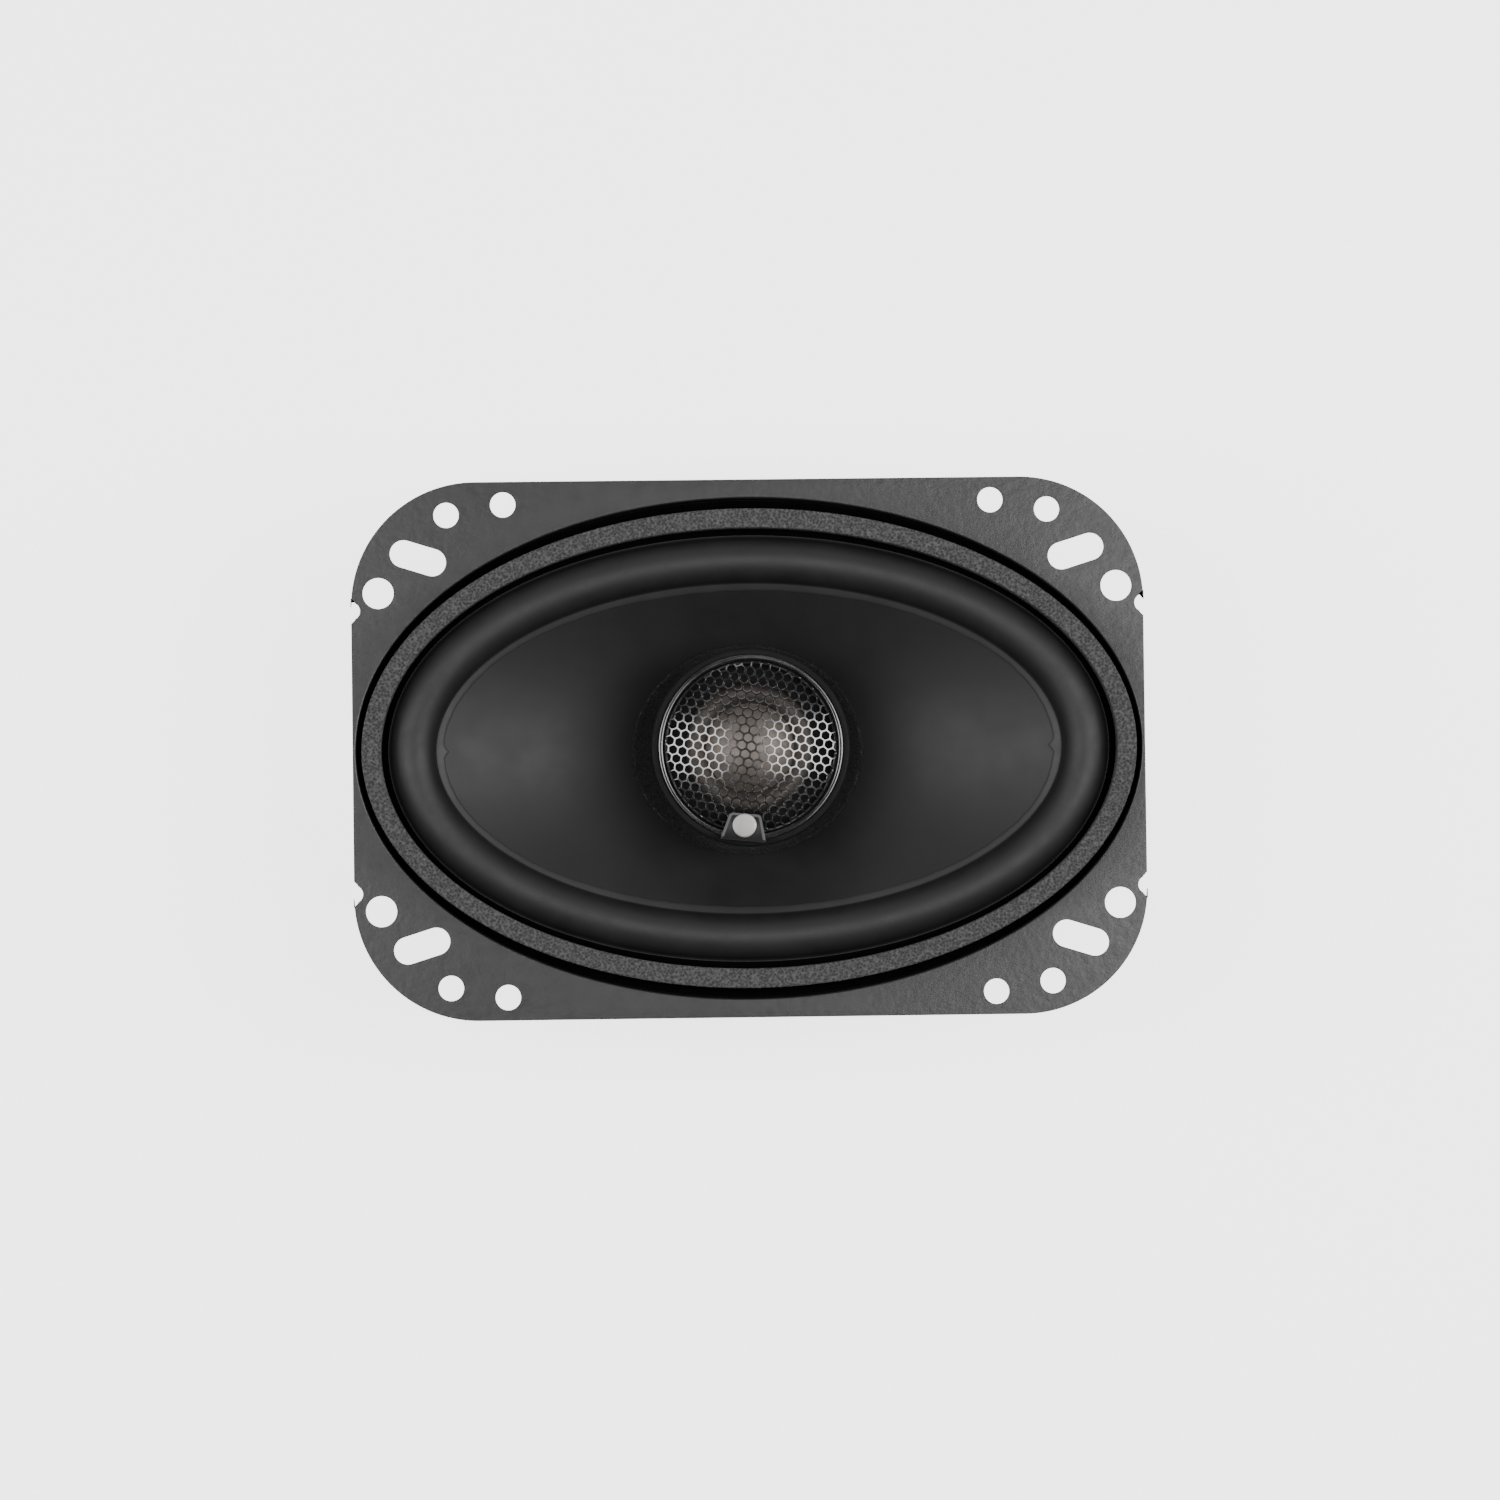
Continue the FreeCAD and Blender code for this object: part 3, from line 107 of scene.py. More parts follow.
def oval_rings(profile, segments=ROUND):
    """Ring points for each (semi-axis along X, semi-axis along Y, height) of a profile."""
    angles = np.linspace(0, 2 * math.pi, segments, endpoint=False)
    return [[(a * math.cos(t), b * math.sin(t), z) for t in angles] for a, b, z in profile]


def loft(name, rings, closed=False, degrees=35, capped=False):
    """A skin over equal rings of points; closed joins the last ring to the first."""
    bm = bmesh.new()
    rows = [[bm.verts.new(point) for point in ring] for ring in rings]
    pairs = list(zip(rows, rows[1:]))
    if closed:
        pairs.append((rows[-1], rows[0]))
    for pair in pairs:
        bridge(bm, pair)
    if capped:
        bm.faces.new(rows[0])
        bm.faces.new(rows[-1])
    return object_from_bmesh(name, bm, degrees)


def oval_solid(name, profile, segments=ROUND, degrees=35):
    """A closed ring-shaped solid whose section is a closed loop of (a, b, z)."""
    return loft(name, oval_rings(profile, segments), closed=True, degrees=degrees)


def round_profile(points):
    return [(r, r, z) for r, z in points]


def lathe(name, points, segments=192, degrees=35):
    """A turned ring: a closed loop of (radius, height), none on the axis."""
    return oval_solid(name, round_profile(points), segments, degrees)


def turned(name, points, segments=192, degrees=35):
    """A turned solid whose profile starts and ends near the axis and is capped there."""
    rings = oval_rings(round_profile(points), segments)
    return loft(name, rings, degrees=degrees, capped=True)


def bar(name, radius, bottom, top, segments, gap=0.02 * MM):
    """A straight round bar about Z; the gap is how near the axis its caps start."""
    return turned(name, [(gap, bottom), (radius, bottom), (radius, top), (gap, top)], segments)


def rounded_corner(before, corner, after, radius, steps=5):
    """Points of an arc that rounds a profile's corner; each point is a tuple of numbers."""
    start, middle, end = (np.array(point, float) for point in (before, corner, after))
    back = start - middle
    ahead = end - middle
    reach = min(radius, 0.45 * np.linalg.norm(back), 0.45 * np.linalg.norm(ahead))
    first = middle + back / np.linalg.norm(back) * reach
    last = middle + ahead / np.linalg.norm(ahead) * reach
    points = []
    for step in range(steps + 1):
        t = step / steps
        points.append(tuple((1 - t) ** 2 * first + 2 * t * (1 - t) * middle + t * t * last))
    return points


def rounded_loop(corners, radii, steps=5):
    """A closed profile with each corner rounded by its own radius; zero keeps it sharp."""
    points = []
    count = len(corners)
    for index, corner in enumerate(corners):
        before = corners[index - 1]
        after = corners[(index + 1) % count]
        if radii[index] > 0:
            points += rounded_corner(before, corner, after, radii[index], steps)
        else:
            points.append(tuple(corner))
    return points


def grow(a_b, amount, z):
    """The oval a_b made bigger all round by an amount, at height z."""
    return (a_b[0] + amount, a_b[1] + amount, z)


def smooth_curve(name, points, resolution):
    """Curve data for the smooth line that has the given control points."""
    curve = bpy.data.curves.new(name, "CURVE")
    curve.dimensions = "3D"
    spline = curve.splines.new("NURBS")
    spline.points.add(len(points) - 1)
    for knot, point in zip(spline.points, points):
        knot.co = (*point, 1.0)
    spline.order_u = 3
    spline.use_endpoint_u = True
    spline.resolution_u = resolution
    return curve


def tube_mesh(name, points, radius):
    """A round tube along the smooth line of a route's points, with closed ends."""
    curve = smooth_curve(name, points, 12)
    curve.bevel_depth = radius
    curve.bevel_resolution = 3
    curve.use_fill_caps = True
    holder = new_object(name + "_curve", curve)
    bpy.context.view_layer.update()
    mesh = bpy.data.meshes.new_from_object(holder.evaluated_get(bpy.context.evaluated_depsgraph_get()))
    bpy.data.objects.remove(holder)
    return shade_smooth(new_object(name, mesh), 60)


def join(name, things, degrees=35):
    """One object from several meshes."""
    bm = bmesh.new()
    for thing in things:
        bm.from_mesh(thing.data)
        bpy.data.objects.remove(thing)
    mesh = bpy.data.meshes.new(name)
    bm.to_mesh(mesh)
    bm.free()
    return shade_smooth(new_object(name, mesh), degrees)


def finish_piece(thing, material, body, slot, *nodes):
    thing.data.materials.clear()
    thing.data.materials.append(material)
    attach(thing, body)
    if nodes:
        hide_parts(*nodes)
    return thing


# ------------------------------------------------------------------ materials


class Shader:
    """A procedural material: a Principled shader and the nodes that feed it."""

    def __init__(self, name, colour, rough, metallic=0.0, specular=0.5):
        self.material = bpy.data.materials.new(name)
        self.material.use_nodes = True
        self.tree = self.material.node_tree
        self.shader = self.tree.nodes["Principled BSDF"]
        self.shader.inputs["Base Color"].default_value = (*colour, 1)
        self.shader.inputs["Roughness"].default_value = rough
        self.shader.inputs["Metallic"].default_value = metallic
        self.shader.inputs["Specular IOR Level"].default_value = specular
        self.place = self.node("ShaderNodeTexCoord").outputs["Object"]
        self.height = None

    def node(self, kind, **values):
        made = self.tree.nodes.new(kind)
        for key, value in values.items():
            setattr(made, key, value)
        return made

    def link(self, source, target):
        self.tree.links.new(source, target)

    def noise(self, scale, detail=4.0, rough=0.55, stretch=None):
        made = self.node("ShaderNodeTexNoise")
        made.inputs["Scale"].default_value = scale
        made.inputs["Detail"].default_value = detail
        made.inputs["Roughness"].default_value = rough
        self.link(self.stretched(stretch), made.inputs["Vector"])
        return made.outputs["Fac"]

    def cells(self, scale):
        made = self.node("ShaderNodeTexVoronoi")
        made.inputs["Scale"].default_value = scale
        self.link(self.place, made.inputs["Vector"])
        return made.outputs["Distance"]

    def stretched(self, stretch):
        if stretch is None:
            return self.place
        made = self.node("ShaderNodeMapping")
        made.inputs["Scale"].default_value = stretch
        self.link(self.place, made.inputs["Vector"])
        return made.outputs["Vector"]

    def oval(self, half_x, half_y):
        """Distance from Z, as a share of an oval's radius in the same direction."""
        made = self.node("ShaderNodeVectorMath", operation="LENGTH")
        self.link(self.stretched((1 / half_x, 1 / half_y, 0)), made.inputs[0])
        return made.outputs["Value"]

    def spread(self, source, low_in, high_in, low_out, high_out):
        made = self.node("ShaderNodeMapRange")
        for key, value in zip(("From Min", "From Max", "To Min", "To Max"),
                              (low_in, high_in, low_out, high_out)):
            made.inputs[key].default_value = value
        self.link(source, made.inputs["Value"])
        return made.outputs["Result"]

    def ramp(self, source, stops):
        made = self.node("ShaderNodeValToRGB")
        while len(made.color_ramp.elements) < len(stops):
            made.color_ramp.elements.new(0.5)
        for element, (position, colour) in zip(made.color_ramp.elements, stops):
            element.position = position
            element.color = (*colour, 1)
        self.link(source, made.inputs["Fac"])
        return made.outputs["Color"]

    def math(self, operation, first, second):
        made = self.node("ShaderNodeMath", operation=operation)
        for socket, value in zip(made.inputs, (first, second)):
            if isinstance(value, (int, float)):
                socket.default_value = value
            else:
                self.link(value, socket)
        return made.outputs["Value"]

    def colour(self, source):
        self.link(source, self.shader.inputs["Base Color"])
        return self

    def roughness(self, source):
        self.link(source, self.shader.inputs["Roughness"])
        return self

    def bump(self, source, depth, strength=1.0):
        """Adds one layer of relief, its depth in metres; layers pile up."""
        made = self.node("ShaderNodeBump")
        made.inputs["Strength"].default_value = strength
        made.inputs["Distance"].default_value = depth
        self.link(source, made.inputs["Height"])
        if self.height is not None:
            self.link(self.height, made.inputs["Normal"])
        self.height = made.outputs["Normal"]
        self.link(self.height, self.shader.inputs["Normal"])
        return self

    def set(self, **values):
        for key, value in values.items():
            self.shader.inputs[key.replace("_", " ")].default_value = value
        return self


def varied(shader, scale, dark, light, detail=5.0):
    """Base colour that drifts between two colours in a soft cloud pattern."""
    cloud = shader.noise(scale, detail)
    shader.colour(shader.ramp(cloud, [(0.35, dark), (0.65, light)]))
    return shader


def powder_coat():
    """Dark grey baked coat on pressed steel: orange peel, faint blotches, a few specks."""
    made = Shader("powder_coat", (0.005, 0.005, 0.005), 0.36, specular=0.55)
    varied(made, 60, (0.0045, 0.0045, 0.0045), (0.0058, 0.0058, 0.0056))
    made.roughness(made.spread(made.noise(350, 3), 0.3, 0.7, 0.31, 0.37))
    made.bump(made.noise(700, 2, 0.5), 0.00009, 0.5)
    made.bump(made.noise(2600, 2, 0.6), 0.00002, 0.5)
    return made.material


def gasket_board():
    """Closed-cell foam board: dense dark grain with paler flecks."""
    made = Shader("gasket_board", (0.07, 0.07, 0.073), 0.9, specular=0.25)
    fleck = made.cells(1900)
    fine = made.noise(2300, 4, 0.75)
    mix = made.math("ADD", made.math("MULTIPLY", fleck, 0.45), made.math("MULTIPLY", fine, 0.75))
    made.colour(made.ramp(mix, [(0.36, (0.019, 0.019, 0.0195)), (0.56, (0.042, 0.042, 0.043)),
                                (0.80, (0.09, 0.09, 0.092))]))
    made.bump(mix, 0.00022, 0.9)
    made.bump(made.noise(260, 3), 0.0001, 0.4)
    return made.material


def surround_cloth():
    """Doped cloth: very dark, soft sheen; the inner lip on the cone is made paler by a painted highlight."""
    made = Shader("surround_cloth", (0.009, 0.009, 0.010), 0.46, specular=0.4)
    # Painted highlight: the inner lip on the cone, inside LIP_OUT, is made paler.
    painted_lip_highlight = made.spread(made.oval(*LIP_OUT), 0.992, 1.0, 1, 0)
    cloud = made.spread(made.noise(90, 5), 0.3, 0.7, 0.36, 0.46)
    tone = made.math("ADD", cloud, made.math("MULTIPLY", painted_lip_highlight, 0.4))
    made.colour(made.ramp(tone, [(0.36, (0.008, 0.008, 0.009)),
                                 (0.46, (0.011, 0.011, 0.012)), (0.85, (0.028, 0.028, 0.029))]))
    made.roughness(made.spread(made.noise(240, 4), 0.3, 0.7, 0.5, 0.6))
    made.bump(made.noise(420, 3), 0.00004, 0.5)
    made.bump(made.noise(3000, 2), 0.00001, 0.5)
    return made.material


def cone_pulp():
    """Pressed black pulp under a thin satin coat: a broad soft highlight and faint fibres."""
    made = Shader("cone_pulp", (0.009, 0.009, 0.0095), 0.5, specular=0.45)
    varied(made, 45, (0.008, 0.008, 0.0085), (0.0105, 0.0105, 0.011))
    made.roughness(made.spread(made.noise(160, 4), 0.3, 0.7, 0.54, 0.6))
    made.bump(made.noise(1400, 4, 0.7), 0.000015, 0.45)
    made.bump(made.noise(90, 2), 0.00004, 0.3)
    return made.material


def black_felt():
    """Matt black felt with a coarse, deep nap and a trace of sheen."""
    made = Shader("black_felt", (0.006, 0.006, 0.0065), 0.95, specular=0.1)
    made.colour(made.ramp(made.noise(2200, 4, 0.8), [(0.4, (0.002, 0.002, 0.0022)),
                                                     (0.7, (0.009, 0.009, 0.0095))]))
    made.bump(made.noise(1500, 4, 0.8), 0.0004, 0.9)
    made.set(Sheen_Weight=0.15, Sheen_Roughness=0.6)
    return made.material


def black_moulding(name="black_moulding", rough=0.5, level=0.004, specular=0.1):
    """Moulded black plastic with a very fine spark-eroded texture."""
    made = Shader(name, (level,) * 3, rough, specular=specular)
    varied(made, 200, (level * 0.85,) * 3, (level * 1.2,) * 3)
    made.roughness(made.spread(made.noise(500, 3), 0.3, 0.7, rough - 0.05, rough + 0.07))
    made.bump(made.noise(2400, 2), 0.00001, 0.5)
    return made.material


def bright_metal(name, colour, rough, scratch=(900, 900, 60)):
    """Turned or plated metal with fine drawn lines."""
    made = Shader(name, colour, rough, metallic=1.0)
    lines = made.noise(1.0, 4, 0.6, stretch=scratch)
    made.roughness(made.spread(lines, 0.3, 0.7, rough - 0.07, rough + 0.09))
    tone = [tuple(c * 0.86 for c in colour), tuple(min(1, c * 1.08) for c in colour)]
    made.colour(made.ramp(made.noise(150, 4), [(0.35, tone[0]), (0.65, tone[1])]))
    made.bump(lines, 0.000008, 0.4)
    return made.material


def mesh_paint():
    """Thin glossy dark plating on the pierced grille."""
    made = Shader("mesh_paint", (0.12, 0.12, 0.125), 0.17, metallic=1.0)
    made.colour(made.ramp(made.noise(900, 3), [(0.3, (0.10, 0.10, 0.103)), (0.7, (0.15, 0.15, 0.153))]))
    made.roughness(made.spread(made.noise(900, 3), 0.3, 0.7, 0.13, 0.2))
    made.bump(made.noise(1800, 3), 0.00001, 0.5)
    return made.material


def dome_foil(name, level, rough):
    """Thin metallised film, slightly warm, with a finely crinkled surface."""
    warm = (level, level * 0.86, level * 0.765)
    made = Shader(name, warm, rough, metallic=1.0)
    made.colour(made.ramp(made.noise(500, 4), [(0.35, tuple(c * 0.84 for c in warm)),
                                               (0.65, tuple(c * 1.16 for c in warm))]))
    made.bump(made.noise(1500, 4), 0.00002, 0.6)
    return made.material


def moulded_rubber():
    """Dark grey rubber, patchy and fine-grained."""
    made = Shader("moulded_rubber", (0.018, 0.018, 0.018), 0.68, specular=0.35)
    varied(made, 120, (0.014, 0.014, 0.014), (0.024, 0.024, 0.024))
    made.roughness(made.spread(made.noise(300, 4), 0.3, 0.7, 0.58, 0.8))
    made.bump(made.noise(1300, 4, 0.7), 0.00004, 0.6)
    return made.material


def ferrite():
    """Ground ferrite: mottled grey, rough."""
    made = Shader("ferrite", (0.05, 0.05, 0.053), 0.62, specular=0.5)
    varied(made, 260, (0.036, 0.036, 0.039), (0.07, 0.07, 0.072))
    made.bump(made.noise(900, 5, 0.7), 0.00008, 0.7)
    return made.material


def zinc_plate():
    return bright_metal("zinc_plate", (0.42, 0.42, 0.40), 0.38, (220, 220, 220))


def spider_cloth():
    """Resin-dipped woven cloth, amber, with a visible weave."""
    made = Shader("spider_cloth", (0.42, 0.25, 0.06), 0.7, specular=0.3)
    warp = made.node("ShaderNodeTexWave", wave_type="BANDS", bands_direction="X")
    weft = made.node("ShaderNodeTexWave", wave_type="BANDS", bands_direction="Y")
    for wave in (warp, weft):
        wave.inputs["Scale"].default_value = 420
        wave.inputs["Distortion"].default_value = 0.4
        made.link(made.place, wave.inputs["Vector"])
    weave = made.math("MULTIPLY", warp.outputs["Fac"], weft.outputs["Fac"])
    made.colour(made.ramp(weave, [(0.0, (0.24, 0.13, 0.03)), (0.6, (0.52, 0.33, 0.1))]))
    made.bump(weave, 0.00012, 0.8)
    return made.material


def fibre_board():
    """Brown pressed board with a faint grain."""
    made = Shader("fibre_board", (0.16, 0.08, 0.035), 0.6)
    made.colour(made.ramp(made.noise(1.0, 5, 0.7, stretch=(900, 120, 900)),
                          [(0.3, (0.10, 0.05, 0.02)), (0.7, (0.22, 0.12, 0.055))]))
    made.bump(made.noise(1500, 4), 0.00003, 0.6)
    return made.material


def shrink_sleeve():
    """Dark blue shrunk film with a clear gloss."""
    made = Shader("shrink_sleeve", (0.02, 0.05, 0.16), 0.3, specular=0.5)
    varied(made, 300, (0.015, 0.04, 0.13), (0.028, 0.065, 0.19))
    made.bump(made.noise(350, 3), 0.00006, 0.5)
    made.set(Coat_Weight=0.5, Coat_Roughness=0.15)
    return made.material


def braid(name, light, dark):
    """Twisted strands: diagonal bands round a thin lead."""
    made = Shader(name, light, 0.4, metallic=0.8)
    wave = made.node("ShaderNodeTexWave", wave_type="BANDS", bands_direction="DIAGONAL")
    wave.inputs["Scale"].default_value = 600
    made.link(made.place, wave.inputs["Vector"])
    made.colour(made.ramp(wave.outputs["Fac"], [(0.2, dark), (0.8, light)]))
    made.bump(wave.outputs["Fac"], 0.00008, 0.8)
    return made.material


def insulation(name, colour):
    """Coloured plastic round a wire."""
    made = Shader(name, colour, 0.4)
    varied(made, 400, tuple(c * 0.85 for c in colour), tuple(c * 1.15 for c in colour))
    made.bump(made.noise(600, 3), 0.00002, 0.5)
    return made.material


MATERIALS = {
    "coat": powder_coat(),
    "gasket": gasket_board(),
    "cloth": surround_cloth(),
    "pulp": cone_pulp(),
    "felt": black_felt(),
    "moulding": black_moulding(),
    "gloss": black_moulding("black_gloss_moulding", 0.4, 0.012, 0.3),
    "border": black_moulding("border_moulding", 0.35, 0.05, 0.5),
    "trim": bright_metal("trim_metal", (0.1, 0.1, 0.103), 0.16, (120, 120, 2600)),
    "mesh": mesh_paint(),
    "foil": dome_foil("dome_foil", 0.28, 0.62),
    "roll": dome_foil("roll_foil", 0.09, 0.6),
    "badge": bright_metal("badge_metal", (0.32, 0.31, 0.30), 0.5, (60, 2200, 60)),
    # Near-black painted shade for the recess round the gasket.
    "painted_shade": black_moulding("painted_shade_black", 0.85, 0.001, 0.02),
    "rubber": moulded_rubber(),
    "ferrite": ferrite(),
    "zinc": zinc_plate(),
    "spider": spider_cloth(),
    "board": fibre_board(),
    "tin": bright_metal("tinned_brass", (0.74, 0.72, 0.66), 0.3, (300, 300, 300)),
    "brass": bright_metal("plain_brass", (0.72, 0.52, 0.24), 0.32, (700, 700, 60)),
    "copper": bright_metal("copper_winding", (0.7, 0.3, 0.14), 0.35, (60, 60, 4200)),
    "sleeve": shrink_sleeve(),
    "braid": braid("tinsel_braid", (0.72, 0.45, 0.26), (0.3, 0.16, 0.08)),
    "red": insulation("red_insulation", (0.32, 0.012, 0.01)),
    "black": insulation("black_insulation", (0.012, 0.012, 0.012)),
}


# ------------------------------------------------------------------ basket

FLANGE_FRONT = 0.9 * MM
EDGE_ROUND = 0.09 * MM
BEND = 0.5 * MM
WELL = (77.2 * MM, 49.1 * MM)
LEDGE = (70.05 * MM, 41.0 * MM)
RECESS_FLOOR = -1.7 * MM
HOLES = ((48.0, 48.42, 2.5), (59.16, 46.48, 2.5), (72.66, 31.25, 3.05))
SLOT = {"x": 64.78, "y": 38.10, "length": 11.3, "width": 5.4, "degrees": 17.4}
NOTCH = {"y": 27.8, "radius": 1.75, "mouth": 5.0}
CORNER = 24.4
FLANGE_HALF_WIDTH = 52.95
SIGNS = ((1, 1), (-1, 1), (-1, -1), (1, -1))


def arc_points(x, y, radius, first, last, steps):
    """Points in millimetres on an arc, from one angle to another in degrees."""
    angles = np.radians(np.linspace(first, last, steps))
    return [(x + radius * math.cos(t), y + radius * math.sin(t)) for t in angles]


def flange_outline():
    """The flange's rounded rectangle, anticlockwise from the lower right, with its four notches."""
    half_x, half_y = half_size("basket")[0] / MM, FLANGE_HALF_WIDTH
    reach = NOTCH["radius"]
    flare = NOTCH["mouth"] / 2 - reach
    side = math.sqrt(reach ** 2 - flare ** 2)
    turn = math.degrees(math.asin(side / reach))

    def notch(middle):
        points = [(half_x, middle - NOTCH["mouth"] / 2), (half_x - flare, middle - reach)]
        for x, y in arc_points(half_x, middle, reach, 180 + turn, 180 - turn, 17):
            points.append((x, y))
        return points + [(half_x - flare, middle + reach), (half_x, middle + NOTCH["mouth"] / 2)]

    right = notch(-NOTCH["y"]) + notch(NOTCH["y"])
    corner = arc_points(half_x - CORNER, half_y - CORNER, CORNER, 0, 90, 40)
    other = [(-x, y) for x, y in reversed(corner)]
    left = [(-x, -y) for x, y in right]
    lower = [(-x, -y) for x, y in corner]
    last = [(x, -y) for x, y in reversed(corner)]
    return right + corner + other + left + lower + last


def slot_outline(x_sign, y_sign):
    """One of the four slanting slots, each end a half circle."""
    angle = x_sign * y_sign * SLOT["degrees"]
    reach = (SLOT["length"] - SLOT["width"]) / 2
    across = math.radians(angle)
    points = []
    for sign in (1, -1):
        x = x_sign * SLOT["x"] + sign * reach * math.cos(across)
        y = y_sign * SLOT["y"] + sign * reach * math.sin(across)
        first = angle - 90 if sign > 0 else angle + 90
        points += arc_points(x, y, SLOT["width"] / 2, first, first + 180, 25)
    return points


def hole_outlines():
    """The four slots and twelve round holes of the flange."""
    outlines = []
    for x_sign, y_sign in SIGNS:
        outlines.append(slot_outline(x_sign, y_sign))
        for x, y, radius in HOLES:
            outlines.append(arc_points(x_sign * x, y_sign * y, radius, 0, 360, 49)[:-1])
    return outlines


def shifted(outline, amount):
    """The closed outline moved along its own normals: outward from its inside if positive."""
    points = np.array(outline)
    along = np.roll(points, -1, axis=0) - np.roll(points, 1, axis=0)
    length = np.linalg.norm(along, axis=1, keepdims=True)
    normals = np.stack((along[:, 1], -along[:, 0]), axis=1) / length
    return points + normals * amount


def edge_rings(bm, outline, inward, top, bottom, edge):
    """Four rings of a sheet's rounded cut edge, from the top face to the bottom face."""
    rows = []
    for amount, z in ((inward * edge, top), (0, top - edge), (0, bottom + edge), (inward * edge, bottom)):
        places = shifted(outline, amount / MM) * MM
        rows.append([bm.verts.new((x, y, z)) for x, y in places])
    bridge(bm, rows)
    return rows


def bridge(bm, rows):
    """Joins each ring of vertices to the next with a band of faces."""
    count = len(rows[0])
    for near, far in zip(rows, rows[1:]):
        for index in range(count):
            after = (index + 1) % count
            bm.faces.new((near[index], near[after], far[after], far[index]))


def ring_edges(bm, ring):
    """The edges round a ring of vertices, made where they are missing."""
    count = len(ring)
    edges = []
    for index in range(count):
        pair = (ring[index], ring[(index + 1) % count])
        edges.append(bm.edges.get(pair) or bm.edges.new(pair))
    return edges


def cap(bm, rings):
    """Fills the flat area between an outer ring and the rings inside it."""
    edges = [edge for ring in rings for edge in ring_edges(bm, ring)]
    bmesh.ops.triangle_fill(bm, use_beauty=True, use_dissolve=False, edges=edges)


def pressed_plate(name, outer, inner, top, bottom, edge, degrees=35):
    """A flat sheet with rounded edges: one outer outline and a list of holes, in millimetres."""
    bm = bmesh.new()
    sides = [edge_rings(bm, outer, -1, top, bottom, edge)]
    sides += [edge_rings(bm, hole, 1, top, bottom, edge) for hole in inner]
    cap(bm, [rows[0] for rows in sides])
    cap(bm, [rows[-1] for rows in sides])
    return object_from_bmesh(name, bm, degrees)


def make_flange():
    """The flange with its holes, the rounded bend and the recess down to the ledge."""
    bm = bmesh.new()
    outer = edge_rings(bm, flange_outline(), -1, FLANGE_FRONT, 0, EDGE_ROUND)
    holes = [edge_rings(bm, hole, 1, FLANGE_FRONT, 0, EDGE_ROUND) for hole in hole_outlines()]
    thick = 0.7 * MM
    floor = RECESS_FLOOR
    section = [(BEND, FLANGE_FRONT)]
    for step in range(1, 7):
        angle = math.pi / 2 * step / 6
        section.append((BEND * (1 - math.sin(angle)), FLANGE_FRONT - BEND * (1 - math.cos(angle))))
    profile = [grow(WELL, out, z) for out, z in section]
    inside_round = 0.45 * MM
    profile += [grow(WELL, 0, floor + inside_round), grow(WELL, -0.13 * MM, floor + 0.13 * MM)]
    profile += [grow(WELL, -inside_round, floor), (*LEDGE, floor), (*LEDGE, floor - FLANGE_FRONT)]
    outside_round = 0.8 * MM
    under = floor - FLANGE_FRONT
    profile += [grow(WELL, thick - outside_round, under), grow(WELL, thick - 0.23 * MM, under + 0.23 * MM)]
    profile += [grow(WELL, thick, under + outside_round), grow(WELL, thick, 0)]
    rows = []
    for ring in oval_rings(profile):
        rows.append([bm.verts.new(point) for point in ring])
    bridge(bm, rows)
    cap(bm, [outer[0], rows[0]] + [rows_of[0] for rows_of in holes])
    cap(bm, [outer[-1], rows[-1]] + [rows_of[-1] for rows_of in holes])
    return object_from_bmesh("basket_flange", bm, 50)


def apply_modifier(thing, kind, **values):
    """Adds a modifier and bakes its result into the mesh."""
    modifier = thing.modifiers.new(kind.lower(), kind)
    for key, value in values.items():
        setattr(modifier, key, value)
    mesh = bpy.data.meshes.new_from_object(thing.evaluated_get(bpy.context.evaluated_depsgraph_get()))
    thing.modifiers.clear()
    thing.data = mesh
    return thing


def combine(thing, other, operation):
    """A boolean with another object, which is used up."""
    apply_modifier(thing, "BOOLEAN", object=other, operation=operation, solver="EXACT")
    bpy.data.objects.remove(other)
    return thing


def prism(name, corners, axis, half_length):
    """A straight bar with a polygon section, along X or Y; corners are (across, height)."""
    bm = bmesh.new()
    rows = []
    for along in (-half_length, half_length):
        if axis == "Y":
            rows.append([bm.verts.new((across, along, z)) for across, z in corners])
        else:
            rows.append([bm.verts.new((along, across, z)) for across, z in corners])
    bridge(bm, rows)
    bm.faces.new(rows[0])
    bm.faces.new(rows[1])
    return object_from_bmesh(name, bm)


def window_section(half_width):
    """A window seen square on: wide, with rounded lower corners."""
    top, bottom, corner = -6 * MM, -23 * MM, 3.6 * MM
    corners = [(half_width, top), (half_width, bottom), (-half_width, bottom), (-half_width, top)]
    return rounded_loop(corners, [0.8 * MM, corner, corner, 0.8 * MM], 8)


